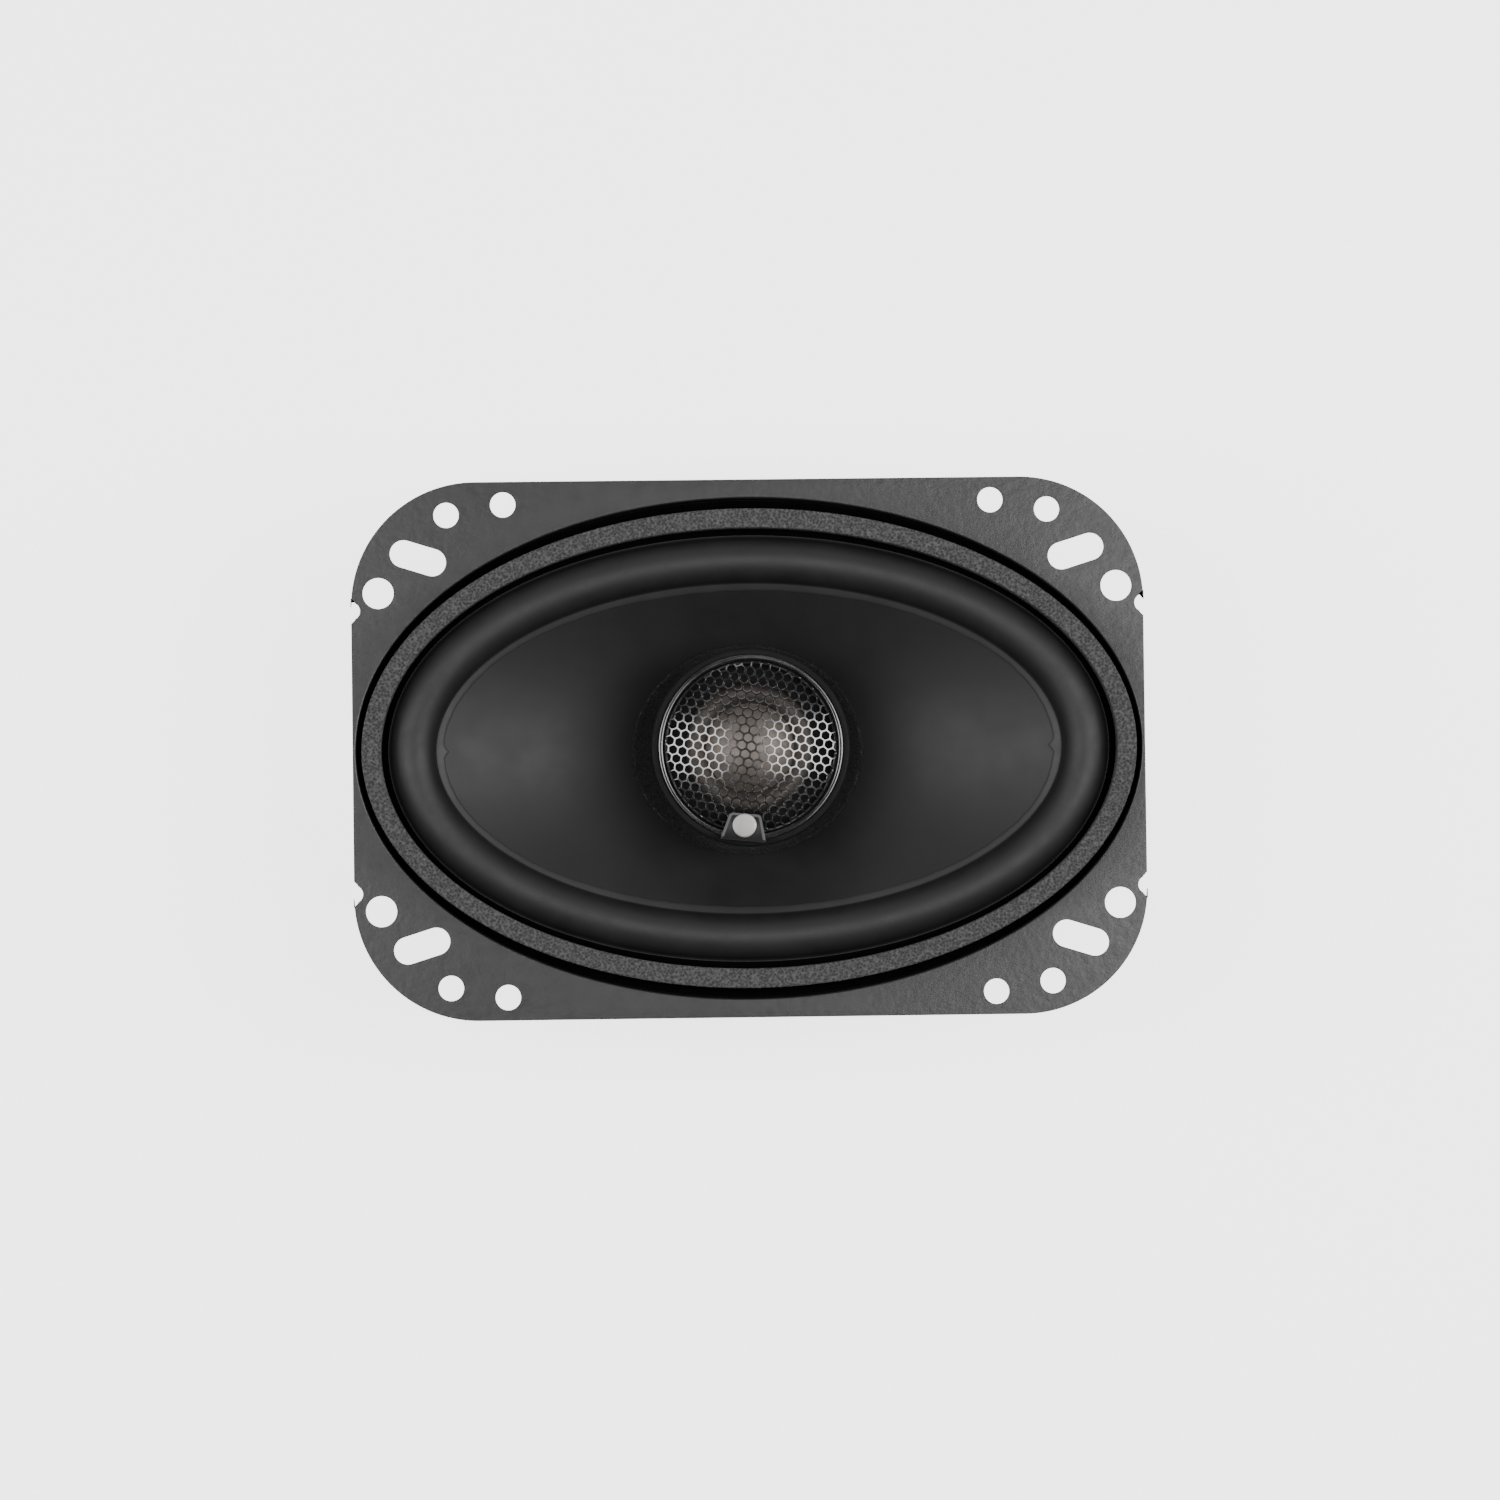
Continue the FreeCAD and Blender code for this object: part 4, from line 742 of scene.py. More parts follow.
def make_basket():
    """Flange, walls with their windows, rear pan and terminal tab, in overlapping parts."""
    seat = -25.5 * MM
    sheet = FLANGE_FRONT
    foot = low("terminal_board").z + 1.6 * MM
    wall = 1.2 * MM
    wall_top = RECESS_FLOOR - sheet
    outer_top = grow(LEDGE, wall, wall_top)
    base = seat - sheet
    radius = 34 * MM
    levels = 10
    outer_rows = []
    inner_rows = []
    for level in range(levels + 1):
        t = level / levels
        z = wall_top + (base - wall_top) * t
        inner = [LEDGE[axis] + (radius - LEDGE[axis]) * t for axis in (0, 1)]
        inner_rows.append((*inner, z))
        outer_rows.append(grow(inner, wall, z))
    outer_rows[0] = (*outer_top[:2], wall_top + 0.3 * MM)
    inner_rows[0] = (*LEDGE, wall_top + 0.3 * MM)
    shell = oval_solid("basket_wall", outer_rows + inner_rows[::-1])
    for axis, half_width, reach in (("Y", 23 * MM, 0.12), ("X", 19 * MM, 0.16)):
        cut = prism("window_cut", window_section(half_width), axis, reach)
        shell = combine(shell, cut, "DIFFERENCE")
    skirt = 28.5 * MM
    bore = 17 * MM
    corners = [
        (bore, foot), (skirt + sheet, foot), (skirt + sheet, base), (radius + wall, base),
        (radius + wall, seat), (skirt, seat), (skirt, foot + sheet), (bore, foot + sheet),
    ]
    rounds = [0.15, 1.4, 0.4, 0.5, 0.3, 1.2, 0.5, 0.15]
    pan = lathe("basket_pan", rounded_loop(corners, [value * MM for value in rounds]), 240)
    half = 6
    tab = [(half, -27.4), (-half, -27.4)]
    tab += arc_points(-half + 2, -44, 2, 180, 270, 8) + arc_points(half - 2, -44, 2, 270, 360, 8)
    tab_plate = pressed_plate("terminal_tab", tab, [], foot + sheet, foot, EDGE_ROUND)
    return join("basket_shell", [shell, make_flange(), pan, tab_plate], 40)


# ------------------------------------------------------------------ gasket, surround, cone, felt

SPINE = (66.2 * MM, 37.15 * MM)
LIP_IN = (60.1 * MM, 31.15 * MM)
# Outer edge of the painted shade film in the recess beyond the gasket.
SHADE_FILM_EDGE = (77.05 * MM, 48.88 * MM)
ROLL_RADIUS = 4.4 * MM
ROLL_THICKNESS = 0.45 * MM
CONE_RIM = (61.3 * MM, 32.25 * MM)
CONE_RIM_Z = -2.0 * MM
NECK = 12.9 * MM
CONE_DEPTH = 16 * MM


def smooth_noise(count, waves, seed):
    """A closed, seeded wavy line of values near -1 to 1, one for each of count steps."""
    rng = np.random.default_rng(seed)
    t = np.linspace(0, 2 * math.pi, count, endpoint=False)
    total = np.zeros(count)
    for wave in waves:
        total += rng.uniform(0.4, 1) * np.sin(wave * t + rng.uniform(0, 2 * math.pi))
    return total / max(1e-9, np.abs(total).max())


def cone_height(x, y):
    """Height of the cone's front face at places (x, y), by halving the interval."""
    lowest = np.zeros_like(x, dtype=float)
    highest = np.full_like(lowest, 1.3)
    for _ in range(30):
        middle = (lowest + highest) / 2
        a = NECK + (CONE_RIM[0] - NECK) * middle
        b = NECK + (CONE_RIM[1] - NECK) * middle
        outside = (x / a) ** 2 + (y / b) ** 2 > 1
        lowest = np.where(outside, middle, lowest)
        highest = np.where(outside, highest, middle)
    return CONE_RIM_Z - CONE_DEPTH + CONE_DEPTH * (lowest + highest) / 2


def make_gasket():
    """A band of foam board with soft edges and a slightly uneven face."""
    outer = half_size("front_gasket")
    band = 3.85 * MM
    inner = [edge - band for edge in outer]
    foot, top = low("front_gasket").z, high("front_gasket").z - 0.03 * MM
    corners = [(*outer, foot), (*outer, top), (*inner, top), (*inner, foot)]
    profile = []
    for index, corner in enumerate(corners):
        radius = 0.55 * MM if index in (1, 2) else 0.1 * MM
        profile += rounded_corner(corners[index - 1], corner, corners[(index + 1) % 4], radius, 6)
        if index == 1:
            for step in range(1, 9):
                t = step / 9
                profile.append(tuple((1 - t) * np.array(corner) + t * np.array(corners[2])))
    band_piece = oval_solid("gasket_band", profile, 1440, 60)
    rng = np.random.default_rng(11)
    for vertex in band_piece.data.vertices:
        if vertex.co.z > foot + 1 * MM:
            vertex.co += Vector(rng.uniform(-1, 1, 3)) * 0.035 * MM
            vertex.co.z -= 0.02 * MM
    return band_piece


def oval_line(semi_axes, count):
    """Places (x, y) round an oval, one row for each step."""
    t = np.linspace(0, 2 * math.pi, count, endpoint=False)
    return np.stack((semi_axes[0] * np.cos(t), semi_axes[1] * np.sin(t)), axis=1)


def roll_line(count):
    """The roll's middle line and its outward directions."""
    normal = oval_line(SPINE[::-1], count)
    normal /= np.linalg.norm(normal, axis=1, keepdims=True)
    return oval_line(SPINE, count), normal


def surround_rings(count):
    """Rings of points from the outer lip over the roll to the lip on the cone, then back below."""
    spine, normal = roll_line(count)
    lip_z = RECESS_FLOOR
    edge = smooth_noise(count, (7, 13, 23, 41, 67), 3) * 0.10 * MM
    outer = 9.6 * MM
    foot_round = 0.7 * MM
    upper = [(outer, lip_z + ROLL_THICKNESS)]
    upper += [(outer - 1.6 * MM * step, lip_z + ROLL_THICKNESS) for step in (1, 2)]
    arch = []
    for step in range(25):
        angle = math.radians(14 + (180 - 28) * step / 24)
        lift = ROLL_RADIUS * math.sin(angle)
        arch.append((ROLL_RADIUS * math.cos(angle), lip_z + lift))
    first, last = arch[0], arch[-1]
    upper += rounded_corner((outer, lip_z + ROLL_THICKNESS), (first[0] + 0.35 * MM, lip_z + ROLL_THICKNESS),
                            first, foot_round, 4)
    upper += arch
    upper += [(last[0] - 0.12 * MM, lip_z + 0.62 * MM), (last[0] - 0.34 * MM, lip_z + 0.36 * MM)]
    rings = []
    for out, z in upper:
        flat = spine + normal * out
        rings.append([(x, y, z) for x, y in flat])
    lip_in = oval_line(LIP_IN, count)
    point = np.clip(1 - np.abs(lip_in[:, 1]) / (1.3 * MM), 0, 1) * 1.0 * MM
    lip_in -= normal * (point + edge)[:, None]
    lip_out = oval_line(LIP_OUT, count)
    top = 0.26 * MM
    rows = []
    for share, rise in ((0.0, top), (0.35, top), (0.7, top), (0.92, 0.8 * top), (1.0, 0.35 * top)):
        flat = lip_out * (1 - share) + lip_in * share
        heights = cone_height(flat[:, 0], flat[:, 1]) + rise
        rows.append([(x, y, z) for (x, y), z in zip(flat, heights)])
    rings += rows
    below = []
    for share in (1.0, 0.0):
        flat = lip_out * (1 - share) + lip_in * share
        heights = cone_height(flat[:, 0], flat[:, 1]) + 0.02 * MM
        below.append([(x, y, z) for (x, y), z in zip(flat, heights)])
    under = []
    for step in range(25):
        angle = math.radians(166 - 152 * step / 24)
        reach = ROLL_RADIUS - ROLL_THICKNESS
        flat = spine + normal * reach * math.cos(angle)
        z = lip_z + reach * math.sin(angle)
        under.append([(x, y, z) for x, y in flat])
    for out in (4.1 * MM, outer):
        under.append([(x, y, lip_z) for x, y in spine + normal * out])
    return rings + below + under


def make_painted_shade_film():
    """A film of painted shade: matt black, on the surround's outer lip on both sides of the gasket, where
    the recess lies in shade.
    """
    spine, normal = roll_line(480)
    under = RECESS_FLOOR + 0.36 * MM
    over = RECESS_FLOOR + 0.49 * MM
    rings = []
    near = spine + normal * 4.85 * MM
    far = oval_line(SHADE_FILM_EDGE, 480)
    for edge, z in ((near, under), (far, under), (far, over), (near, over)):
        rings.append([(x, y, z) for x, y in edge])
    return loft("painted_shade_film", rings, closed=True)


def radial_blend(piece, share_of):
    """Sets how far each point follows the moving body, from its own place."""
    values = [share_of(vertex.co) for vertex in piece.data.vertices]
    layer = piece.data.attributes.get("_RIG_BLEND")
    layer.data.foreach_set("value", values)


def smooth_step(t):
    """Rises gently from 0 to 1 as t goes from 0 to 1."""
    t = min(1.0, max(0.0, t))
    return t * t * (3 - 2 * t)


def surround_share(co):
    """0 at the outer foot of the roll, 1 at its inner foot."""
    away = math.hypot(co.x / SPINE[0], co.y / SPINE[1]) - 1
    angle = math.atan2(co.y / SPINE[1], co.x / SPINE[0])
    reach = math.hypot(SPINE[1] * math.cos(angle), SPINE[0] * math.sin(angle))
    distance = away * SPINE[0] * SPINE[1] / reach
    return 1 - smooth_step((distance + ROLL_RADIUS) / (2 * ROLL_RADIUS))


def make_cone():
    """The paper cone: straight from its oval rim down to the round neck."""
    rows = []
    steps = 40
    for step in range(steps + 1):
        t = step / steps
        a = CONE_RIM[0] * (1 - t) + NECK * t
        b = CONE_RIM[1] * (1 - t) + NECK * t
        rows.append((a, b, CONE_RIM_Z - CONE_DEPTH * t))
    thick = 0.68 * MM
    back = [grow((a, b), 0.75 * MM if index == steps else 0, z - thick)
            for index, (a, b, z) in enumerate(rows)]
    rim = [grow(CONE_RIM, 0.3 * MM, CONE_RIM_Z - thick), grow(CONE_RIM, 0.3 * MM, CONE_RIM_Z)]
    return oval_solid("cone_shell", rows + back[::-1] + rim, 360, 40)


FELT_EDGE = (22.9 * MM, 20.7 * MM)
FELT_BORE = 7.2 * MM


def felt_top(x, y):
    """Height of the felt's face at places (x, y)."""
    return np.maximum(cone_height(x, y), low("felt_ring").z) + 1.15 * MM


def make_felt():
    """A felt ring lying on the cone, its edge uneven, with fibres standing off it."""
    count = 540
    t = np.linspace(0, 2 * math.pi, count, endpoint=False)
    ragged = 1 + 0.012 * smooth_noise(count, (5, 9, 17, 31, 57, 83), 5)
    rings = []
    shares = (0.0, 0.15, 0.3, 0.45, 0.6, 0.7, 0.8, 0.87, 0.93, 0.97, 1.0)
    sink = (0.0, 0, 0, 0, 0, 0, 0, 0, 0.04 * MM, 0.22 * MM, 0.75 * MM)
    rng = np.random.default_rng(7)
    for share, drop in zip(shares, sink):
        a = (FELT_BORE * (1 - share) + FELT_EDGE[0] * share) * (1 + (ragged - 1) * share)
        b = (FELT_BORE * (1 - share) + FELT_EDGE[1] * share) * (1 + (ragged - 1) * share)
        x, y = a * np.cos(t), b * np.sin(t)
        z = felt_top(x, y) - drop + rng.uniform(-1, 1, count) * 0.07 * MM
        rings.append(list(zip(x, y, z)))
    for share in (1.0, 0.75, 0.5, 0.0):
        a = FELT_BORE * (1 - share) + FELT_EDGE[0] * share * 0.99
        b = FELT_BORE * (1 - share) + FELT_EDGE[1] * share * 0.99
        x, y = a * np.cos(t), b * np.sin(t)
        z = np.maximum(cone_height(x, y), low("felt_ring").z) + 0.03 * MM
        rings.append(list(zip(x, y, z)))
    return loft("felt_dust_ring", rings, closed=True, degrees=70)


def make_fuzz():
    """Short bent fibres over the felt's visible band."""
    rng = random.Random(21)
    roots = []
    for _ in range(5200):
        angle = rng.uniform(0, 2 * math.pi)
        share = rng.uniform(0.72, 1.005)
        x = (FELT_BORE * (1 - share) + FELT_EDGE[0] * share) * math.cos(angle)
        y = (FELT_BORE * (1 - share) + FELT_EDGE[1] * share) * math.sin(angle)
        roots.append((x, y, 0.6 * MM if share > 0.985 else 0.1 * MM))
    roots = np.array(roots)
    heights = felt_top(roots[:, 0], roots[:, 1]) - roots[:, 2]
    points = []
    faces = []
    for (x, y, _), z in zip(roots, heights):
        heading = Vector((rng.gauss(0, 1), rng.gauss(0, 1), rng.uniform(0.1, 0.7))).normalized()
        bend = Vector((rng.gauss(0, 1), rng.gauss(0, 1), rng.gauss(0, 0.5))) * 0.28 * MM
        length = rng.uniform(0.5, 1.25) * MM
        width = rng.uniform(0.014, 0.026) * MM
        fibre(points, faces, Vector((x, y, z)), heading * length, bend, width)
    mesh = bpy.data.meshes.new("felt_fibres")
    mesh.from_pydata(points, [], faces)
    mesh.shade_smooth()
    return new_object("felt_fibres", mesh)


def fibre(points, faces, root, reach, bend, width):
    """Adds a three-sided hair in three joints, closed at both ends."""
    side = reach.orthogonal().normalized() * width
    other = reach.cross(side).normalized() * width
    first = len(points)
    for t in (0.0, 0.33, 0.67, 1.0):
        middle = root + reach * t + bend * 4 * t * (1 - t)
        thin = 1 - 0.6 * t
        points.append(middle + side * thin)
        points.append(middle - side * 0.5 * thin + other * 0.87 * thin)
        points.append(middle - side * 0.5 * thin - other * 0.87 * thin)
    for row in range(3):
        base = first + 3 * row
        for index in range(3):
            after = (index + 1) % 3
            faces.append((base + index, base + after, base + after + 3, base + index + 3))
    faces.append((first + 2, first + 1, first))
    faces.append((first + 9, first + 10, first + 11))


# ------------------------------------------------------------------ spider

SPIDER_IN = 13.2 * MM
SPIDER_OUT = 33 * MM
SPIDER_LAND = 28.4 * MM


def make_spider():
    """A corrugated cloth disc: a flat land, then five round waves in to the coil."""
    base = low("spider").z
    thick = 0.42 * MM
    wave = 1.0 * MM
    upper = [(SPIDER_OUT, base + thick), (SPIDER_LAND + 0.6 * MM, base + thick)]
    steps = 60
    for step in range(steps + 1):
        t = step / steps
        rise = wave * (0.5 - 0.5 * math.cos(2 * math.pi * 5 * t))
        upper.append((SPIDER_LAND + (SPIDER_IN - SPIDER_LAND) * t, base + thick + rise))
    lower = [(radius, z - thick) for radius, z in reversed(upper)]
    return lathe("spider_disc", upper + lower, 240, 50)


def spider_share(co):
    """0 on the spider's land, 1 at the coil."""
    radius = math.hypot(co.x, co.y)
    return smooth_step((SPIDER_LAND - radius) / (SPIDER_LAND - SPIDER_IN))


# ------------------------------------------------------------------ tweeter

TRIM_OUT = 18.06 * MM
TRIM_IN = 17.2 * MM
GRILLE_RIM = 17.12 * MM
TWEETER_ROLL_IN = 8.7 * MM
TWEETER_ROLL_OUT = 12.9 * MM
BADGE_ANGLE = 264.4
HEX_PITCH = 1.86 * MM
HEX_HOLE = 1.50 * MM
HEX_TURN = -11.0
GRILLE_SHOULDER = 1.7 * MM
GRILLE_DROP = 0.9 * MM
SHOULDER_SLOPE = 0.30
SHOULDER_POWER = 2.2


def grille_rise(radius, rim, rise):
    """The pierced dome: nearly flat in the middle, turning down steeply at a round shoulder."""
    shoulder = rim - GRILLE_SHOULDER
    crown = dome_rise(min(radius, shoulder), shoulder, rise - GRILLE_DROP)
    past = min(1.0, max(0.0, (radius - shoulder) / (rim - shoulder)))
    slow = (rim - shoulder) * SHOULDER_SLOPE
    return GRILLE_DROP + crown - slow * past - (GRILLE_DROP - slow) * past ** SHOULDER_POWER


def dome_rise(radius, rim, rise):
    """Height above the rim's plane of a spherical cap, at a radius."""
    ball = (rim * rim + rise * rise) / (2 * rise)
    return math.sqrt(max(0.0, ball * ball - radius * radius)) - (ball - rise)


def make_housing():
    """The tweeter's moulded cup: a seat for the trim ring, a hollow stem hole and three ribs."""
    foot = low("tweeter_housing").z
    top = high("tweeter_housing").z
    rim = high("tweeter_housing").x
    skirt = rim - 1 * MM
    bore = skirt - 1.2 * MM
    stem = 4.1 * MM
    seat = low("tweeter_diaphragm_ring").z
    step = top - 3.4 * MM
    corners = [
        (stem, foot), (skirt, foot), (skirt, step - 1 * MM), (rim, step), (rim, top),
        (TRIM_OUT + 0.04 * MM, top), (TRIM_OUT + 0.04 * MM, seat), (bore, seat),
        (bore, foot + 1.4 * MM), (stem, foot + 1.4 * MM),
    ]
    rounds = [0.2, 1.8, 0.4, 0.4, 0.62, 0.16, 0.05, 0.05, 0.5, 0.1]
    shell = lathe("tweeter_shell", rounded_loop(corners, [value * MM for value in rounds], 7), 288, 40)
    floor = foot + 1.4 * MM
    pieces = [shell]
    for degrees in (30, 150, 270):
        post = bar("rib", 1.5 * MM, floor - 0.2 * MM, floor + 1.6 * MM, 32, 0.05 * MM)
        place = Vector((math.cos(math.radians(degrees)), math.sin(math.radians(degrees)), 0)) * 8.5 * MM
        post.data.transform(Matrix.Translation(place))
        pieces.append(post)
    return join("tweeter_shell", pieces, 40)


def arc_ring(name, section, first, last, segments, degrees=35):
    """A ring interrupted by a gap: a closed section (radius, height) swept between two angles."""
    bm = bmesh.new()
    rows = []
    for angle in np.radians(np.linspace(first, last, segments)):
        rows.append([bm.verts.new((r * math.cos(angle), r * math.sin(angle), z)) for r, z in section])
    bridge(bm, rows)
    bm.faces.new(rows[0])
    bm.faces.new(rows[-1])
    return object_from_bmesh(name, bm, degrees)


def make_trim():
    """The bright ring: a full collar below, and a visible rim broken by the badge tab."""
    foot = low("tweeter_trim_ring").z
    top = high("tweeter_trim_ring").z
    seat = high("tweeter_housing").z - 0.5 * MM
    inner = TRIM_IN - 0.8 * MM
    collar = [(inner, foot), (TRIM_OUT, foot), (TRIM_OUT, seat + 0.05 * MM), (inner, seat + 0.05 * MM)]
    lower = lathe("collar", collar, 240)
    rim = rounded_loop([(TRIM_IN, seat), (TRIM_OUT, seat), (TRIM_OUT, top), (TRIM_IN, top)],
                       [0, 0, 0.26 * MM, 0.26 * MM], 5)
    gap = 13.6
    upper = arc_ring("rim", rim, BADGE_ANGLE + gap, BADGE_ANGLE + 360 - gap, 300, 40)
    return join("tweeter_trim", [lower, upper], 40)


def hex_corners(x, y, radius, turn):
    """The six corners of a turned hexagon."""
    angles = [turn + math.pi / 3 * k for k in range(6)]
    return [(x + radius * math.cos(t), y + radius * math.sin(t)) for t in angles]


def rounded_hex(x, y, radius, turn):
    """Twelve points: each corner of the hexagon is cut back a little."""
    corners = hex_corners(x, y, radius, turn)
    points = []
    for index, corner in enumerate(corners):
        before = corners[index - 1]
        after = corners[(index + 1) % 6]
        for other in (before, after):
            points.append(tuple(np.array(corner) * 0.84 + np.array(other) * 0.16))
    return points


def make_grille():
    """A pierced metal dome: a honeycomb of holes inside a plain rim."""
    bm = bmesh.new()
    turn = math.radians(HEX_TURN)
    thick = 0.36 * MM
    soft = 0.06 * MM
    shared = {}

    def corner_vertex(x, y, z):
        key = (round(x / MM, 3), round(y / MM, 3), z)
        if key not in shared:
            shared[key] = bm.verts.new((x, y, z))
        return shared[key]

    row_step = HEX_PITCH * math.sqrt(3) / 2
    flat = turn + math.pi / 6
    for row in range(-12, 13):
        for column in range(-12, 13):
            along = (column + 0.5 * (row % 2)) * HEX_PITCH
            across = row * row_step
            x = along * math.cos(turn) - across * math.sin(turn)
            y = along * math.sin(turn) + across * math.cos(turn)
            if math.hypot(x, y) > GRILLE_RIM + 1.2 * MM:
                continue
            cell = hex_corners(x, y, HEX_PITCH / math.sqrt(3), flat)
            hole = rounded_hex(x, y, HEX_HOLE / math.sqrt(3), flat)
            wide = rounded_hex(x, y, (HEX_HOLE + 2 * soft) / math.sqrt(3), flat)
            top = [corner_vertex(px, py, thick) for px, py in cell]
            bottom = [corner_vertex(px, py, 0.0) for px, py in cell]
            rings = [[bm.verts.new((px, py, z)) for px, py in outline]
                     for outline, z in ((wide, thick), (hole, thick - soft), (hole, soft), (wide, 0.0))]
            bridge(bm, rings)
            for outline, ring in ((top, rings[0]), (bottom, rings[3])):
                for index in range(6):
                    after = (index + 1) % 6
                    first, second, third = ring[2 * index], ring[2 * index + 1], ring[2 * after]
                    bm.faces.new((outline[index], first, second))
                    bm.faces.new((outline[index], outline[after], third, second))
    honeycomb = object_from_bmesh("grille_mesh", bm, 60)
    close_edges(honeycomb)
    trim = bar("trim", GRILLE_RIM - 0.3 * MM, -1 * MM, 1 * MM, 240, 0.05 * MM)
    honeycomb = combine(honeycomb, trim, "INTERSECT")
    border = rounded_loop([(GRILLE_RIM - 0.4 * MM, -0.04 * MM), (GRILLE_RIM, -0.04 * MM),
                           (GRILLE_RIM, thick + 0.02 * MM), (GRILLE_RIM - 0.4 * MM, thick + 0.02 * MM)],
                          [0.05 * MM, 0.05 * MM, 0.15 * MM, 0.15 * MM])
    edge = lathe("tweeter_mesh_border", border, 240)
    honeycomb.name = "tweeter_mesh_dome"
    base = low("tweeter_grille").z
    rise = high("tweeter_grille").z - base - thick
    for piece in (honeycomb, edge):
        for vertex in piece.data.vertices:
            radius = math.hypot(vertex.co.x, vertex.co.y)
            vertex.co.z += base + grille_rise(radius, GRILLE_RIM, rise) + 0.02 * MM
    shade_smooth(honeycomb, 28)
    return honeycomb, edge


def close_edges(thing):
    """Joins the open outer edges of the top and bottom skins into side walls."""
    bm = bmesh.new()
    bm.from_mesh(thing.data)
    bmesh.ops.remove_doubles(bm, verts=bm.verts, dist=1e-6)
    bm.verts.ensure_lookup_table()
    open_edges = [edge for edge in bm.edges if edge.is_boundary]
    upper = {}
    for vertex in {v for edge in open_edges for v in edge.verts}:
        upper.setdefault((round(vertex.co.x, 7), round(vertex.co.y, 7)), {})[vertex.co.z > 1e-5] = vertex
    for edge in open_edges:
        first, second = edge.verts
        if first.co.z < 1e-5:
            continue
        keys = [(round(v.co.x, 7), round(v.co.y, 7)) for v in (first, second)]
        if all(False in upper[key] for key in keys):
            bm.faces.new((first, second, upper[keys[1]][False], upper[keys[0]][False]))
    bmesh.ops.recalc_face_normals(bm, faces=bm.faces)
    bm.to_mesh(thing.data)
    bm.free()


def make_dome():
    """The tweeter's thin foil dome with a narrow rolled foot."""
    rim = high("tweeter_dome").x
    base = low("tweeter_dome").z
    rise = high("tweeter_dome").z - base
    thick = 0.12 * MM
    radii = [rim * math.sin(math.pi / 2 * step / 28) for step in range(1, 29)]
    outer = [(radius, base + dome_rise(radius, rim, rise)) for radius in radii]
    outer.append((rim + 0.32 * MM, base))
    inner = [(max(0.05 * MM, radius - thick), z - thick) for radius, z in reversed(outer)]
    return turned("tweeter_foil_dome", outer + inner, 192, 50)


def make_tweeter_surround():
    """The small half roll between the foil dome and its ring."""
    inner = TWEETER_ROLL_IN
    outer = TWEETER_ROLL_OUT
    base = low("tweeter_surround").z + 0.3 * MM
    thick = 0.2 * MM
    upper = []
    for step in range(25):
        t = step / 24
        upper.append((inner + (outer - inner) * t, base + 1.0 * MM * math.sin(math.pi * t) ** 0.8))
    lower = [(radius, z - thick) for radius, z in reversed(upper)]
    return lathe("tweeter_roll", upper + lower, 192, 50)


def tweeter_share(co):
    """0 at the roll's outer foot, 1 near its inner foot."""
    radius = math.hypot(co.x, co.y)
    still, width = TWEETER_ROLL_OUT - 0.05 * MM, 4.0 * MM
    return smooth_step((still - radius) / width)


def bordered_tab():
    """A trapezoid plate with a thin raised line along its two sides and its inner end."""
    top = low("badge_disc").z
    outer = 18.4
    inner = 13.1
    outline = rounded_loop([(outer, -4.5), (outer, 4.5), (inner, 3.05), (inner, -3.05)],
                           [0.3, 0.3, 0.75, 0.75], 6)
    plate = pressed_plate("plate", outline, [], top, high("tweeter_housing").z - 0.05 * MM, 0.15 * MM, 50)
    line = rounded_loop([(17.9, -4.3), (inner + 0.06, -2.98), (inner + 0.06, 2.98), (17.9, 4.3),
                         (17.9, 3.86), (inner + 0.42, 2.64), (inner + 0.42, -2.64), (17.9, -3.86)],
                        [0.05, 0.7, 0.7, 0.05, 0.05, 0.4, 0.4, 0.05], 6)
    border = pressed_plate("border", line, [], top + 0.14 * MM, top - 0.05 * MM, 0.05 * MM, 50)
    return plate, border


def turn_to_badge(thing):
    """Turns a piece modelled on the X axis round to the badge's place."""
    thing.data.transform(Matrix.Rotation(math.radians(BADGE_ANGLE), 4, "Z"))
    return thing


def make_disc():
    """The plain round badge disc, slightly crowned, with a softened edge."""
    foot = low("badge_disc").z
    top = high("badge_disc").z
    radius = 2.35 * MM
    points = [(0.02 * MM, foot), (radius, foot)]
    for inset, drop in ((0, 0.16), (0.05, 0.09), (0.16, 0.05), (0.5, 0.02)):
        points.append((radius - inset * MM, top - drop * MM))
    disc = turned("badge_plain_disc", points + [(0.02 * MM, top)], 96, 40)
    disc.data.transform(Matrix.Translation((15.4 * MM, 0, 0)))
    return turn_to_badge(disc)


# ------------------------------------------------------------------ motor and boot


def make_boot():
    """The rubber cup over the magnet's back, with shallow rings moulded in its back face."""
    foot = low("magnet_boot").z
    rim = high("magnet_boot").z
    wall = high("magnet_boot").x
    bore = wall - 1.5 * MM
    ledge = 32.3 * MM
    seat = -46.2 * MM
    back = -50 * MM
    inside = foot + 1.5 * MM
    corners = [(6 * MM, foot + 0.5 * MM), (7 * MM, foot)]
    rounds = [0.3, 0.3]
    for radius in (14, 22):
        corners += [(radius * MM, foot), ((radius + 0.5) * MM, foot + 0.4 * MM), ((radius + 1.0) * MM, foot)]
        rounds += [0.1, 0.2, 0.1]
    corners += [(wall, foot), (wall, rim), (bore, rim), (bore, seat), (ledge, seat), (ledge, back)]
    corners += [(ledge - 3 * MM, back), (ledge - 3 * MM, inside)]
    corners += [(0.05 * MM, inside), (0.05 * MM, foot + 0.5 * MM)]
    rounds += [1.8, 0.5, 0.3, 0.2, 0.2, 0.2, 0.2, 0.3, 0, 0]
    cup = lathe("magnet_cup", rounded_loop(corners, [value * MM for value in rounds]), 240, 40)
    half, over = 4 * MM, rim + 1 * MM
    slot = prism("slot", [(-half, inside), (half, inside), (half, over), (-half, over)], "Y", 6 * MM)
    slot.data.transform(Matrix.Translation((0, -34.4 * MM, 0)))
    return shade_smooth(combine(cup, slot, "DIFFERENCE"), 40)


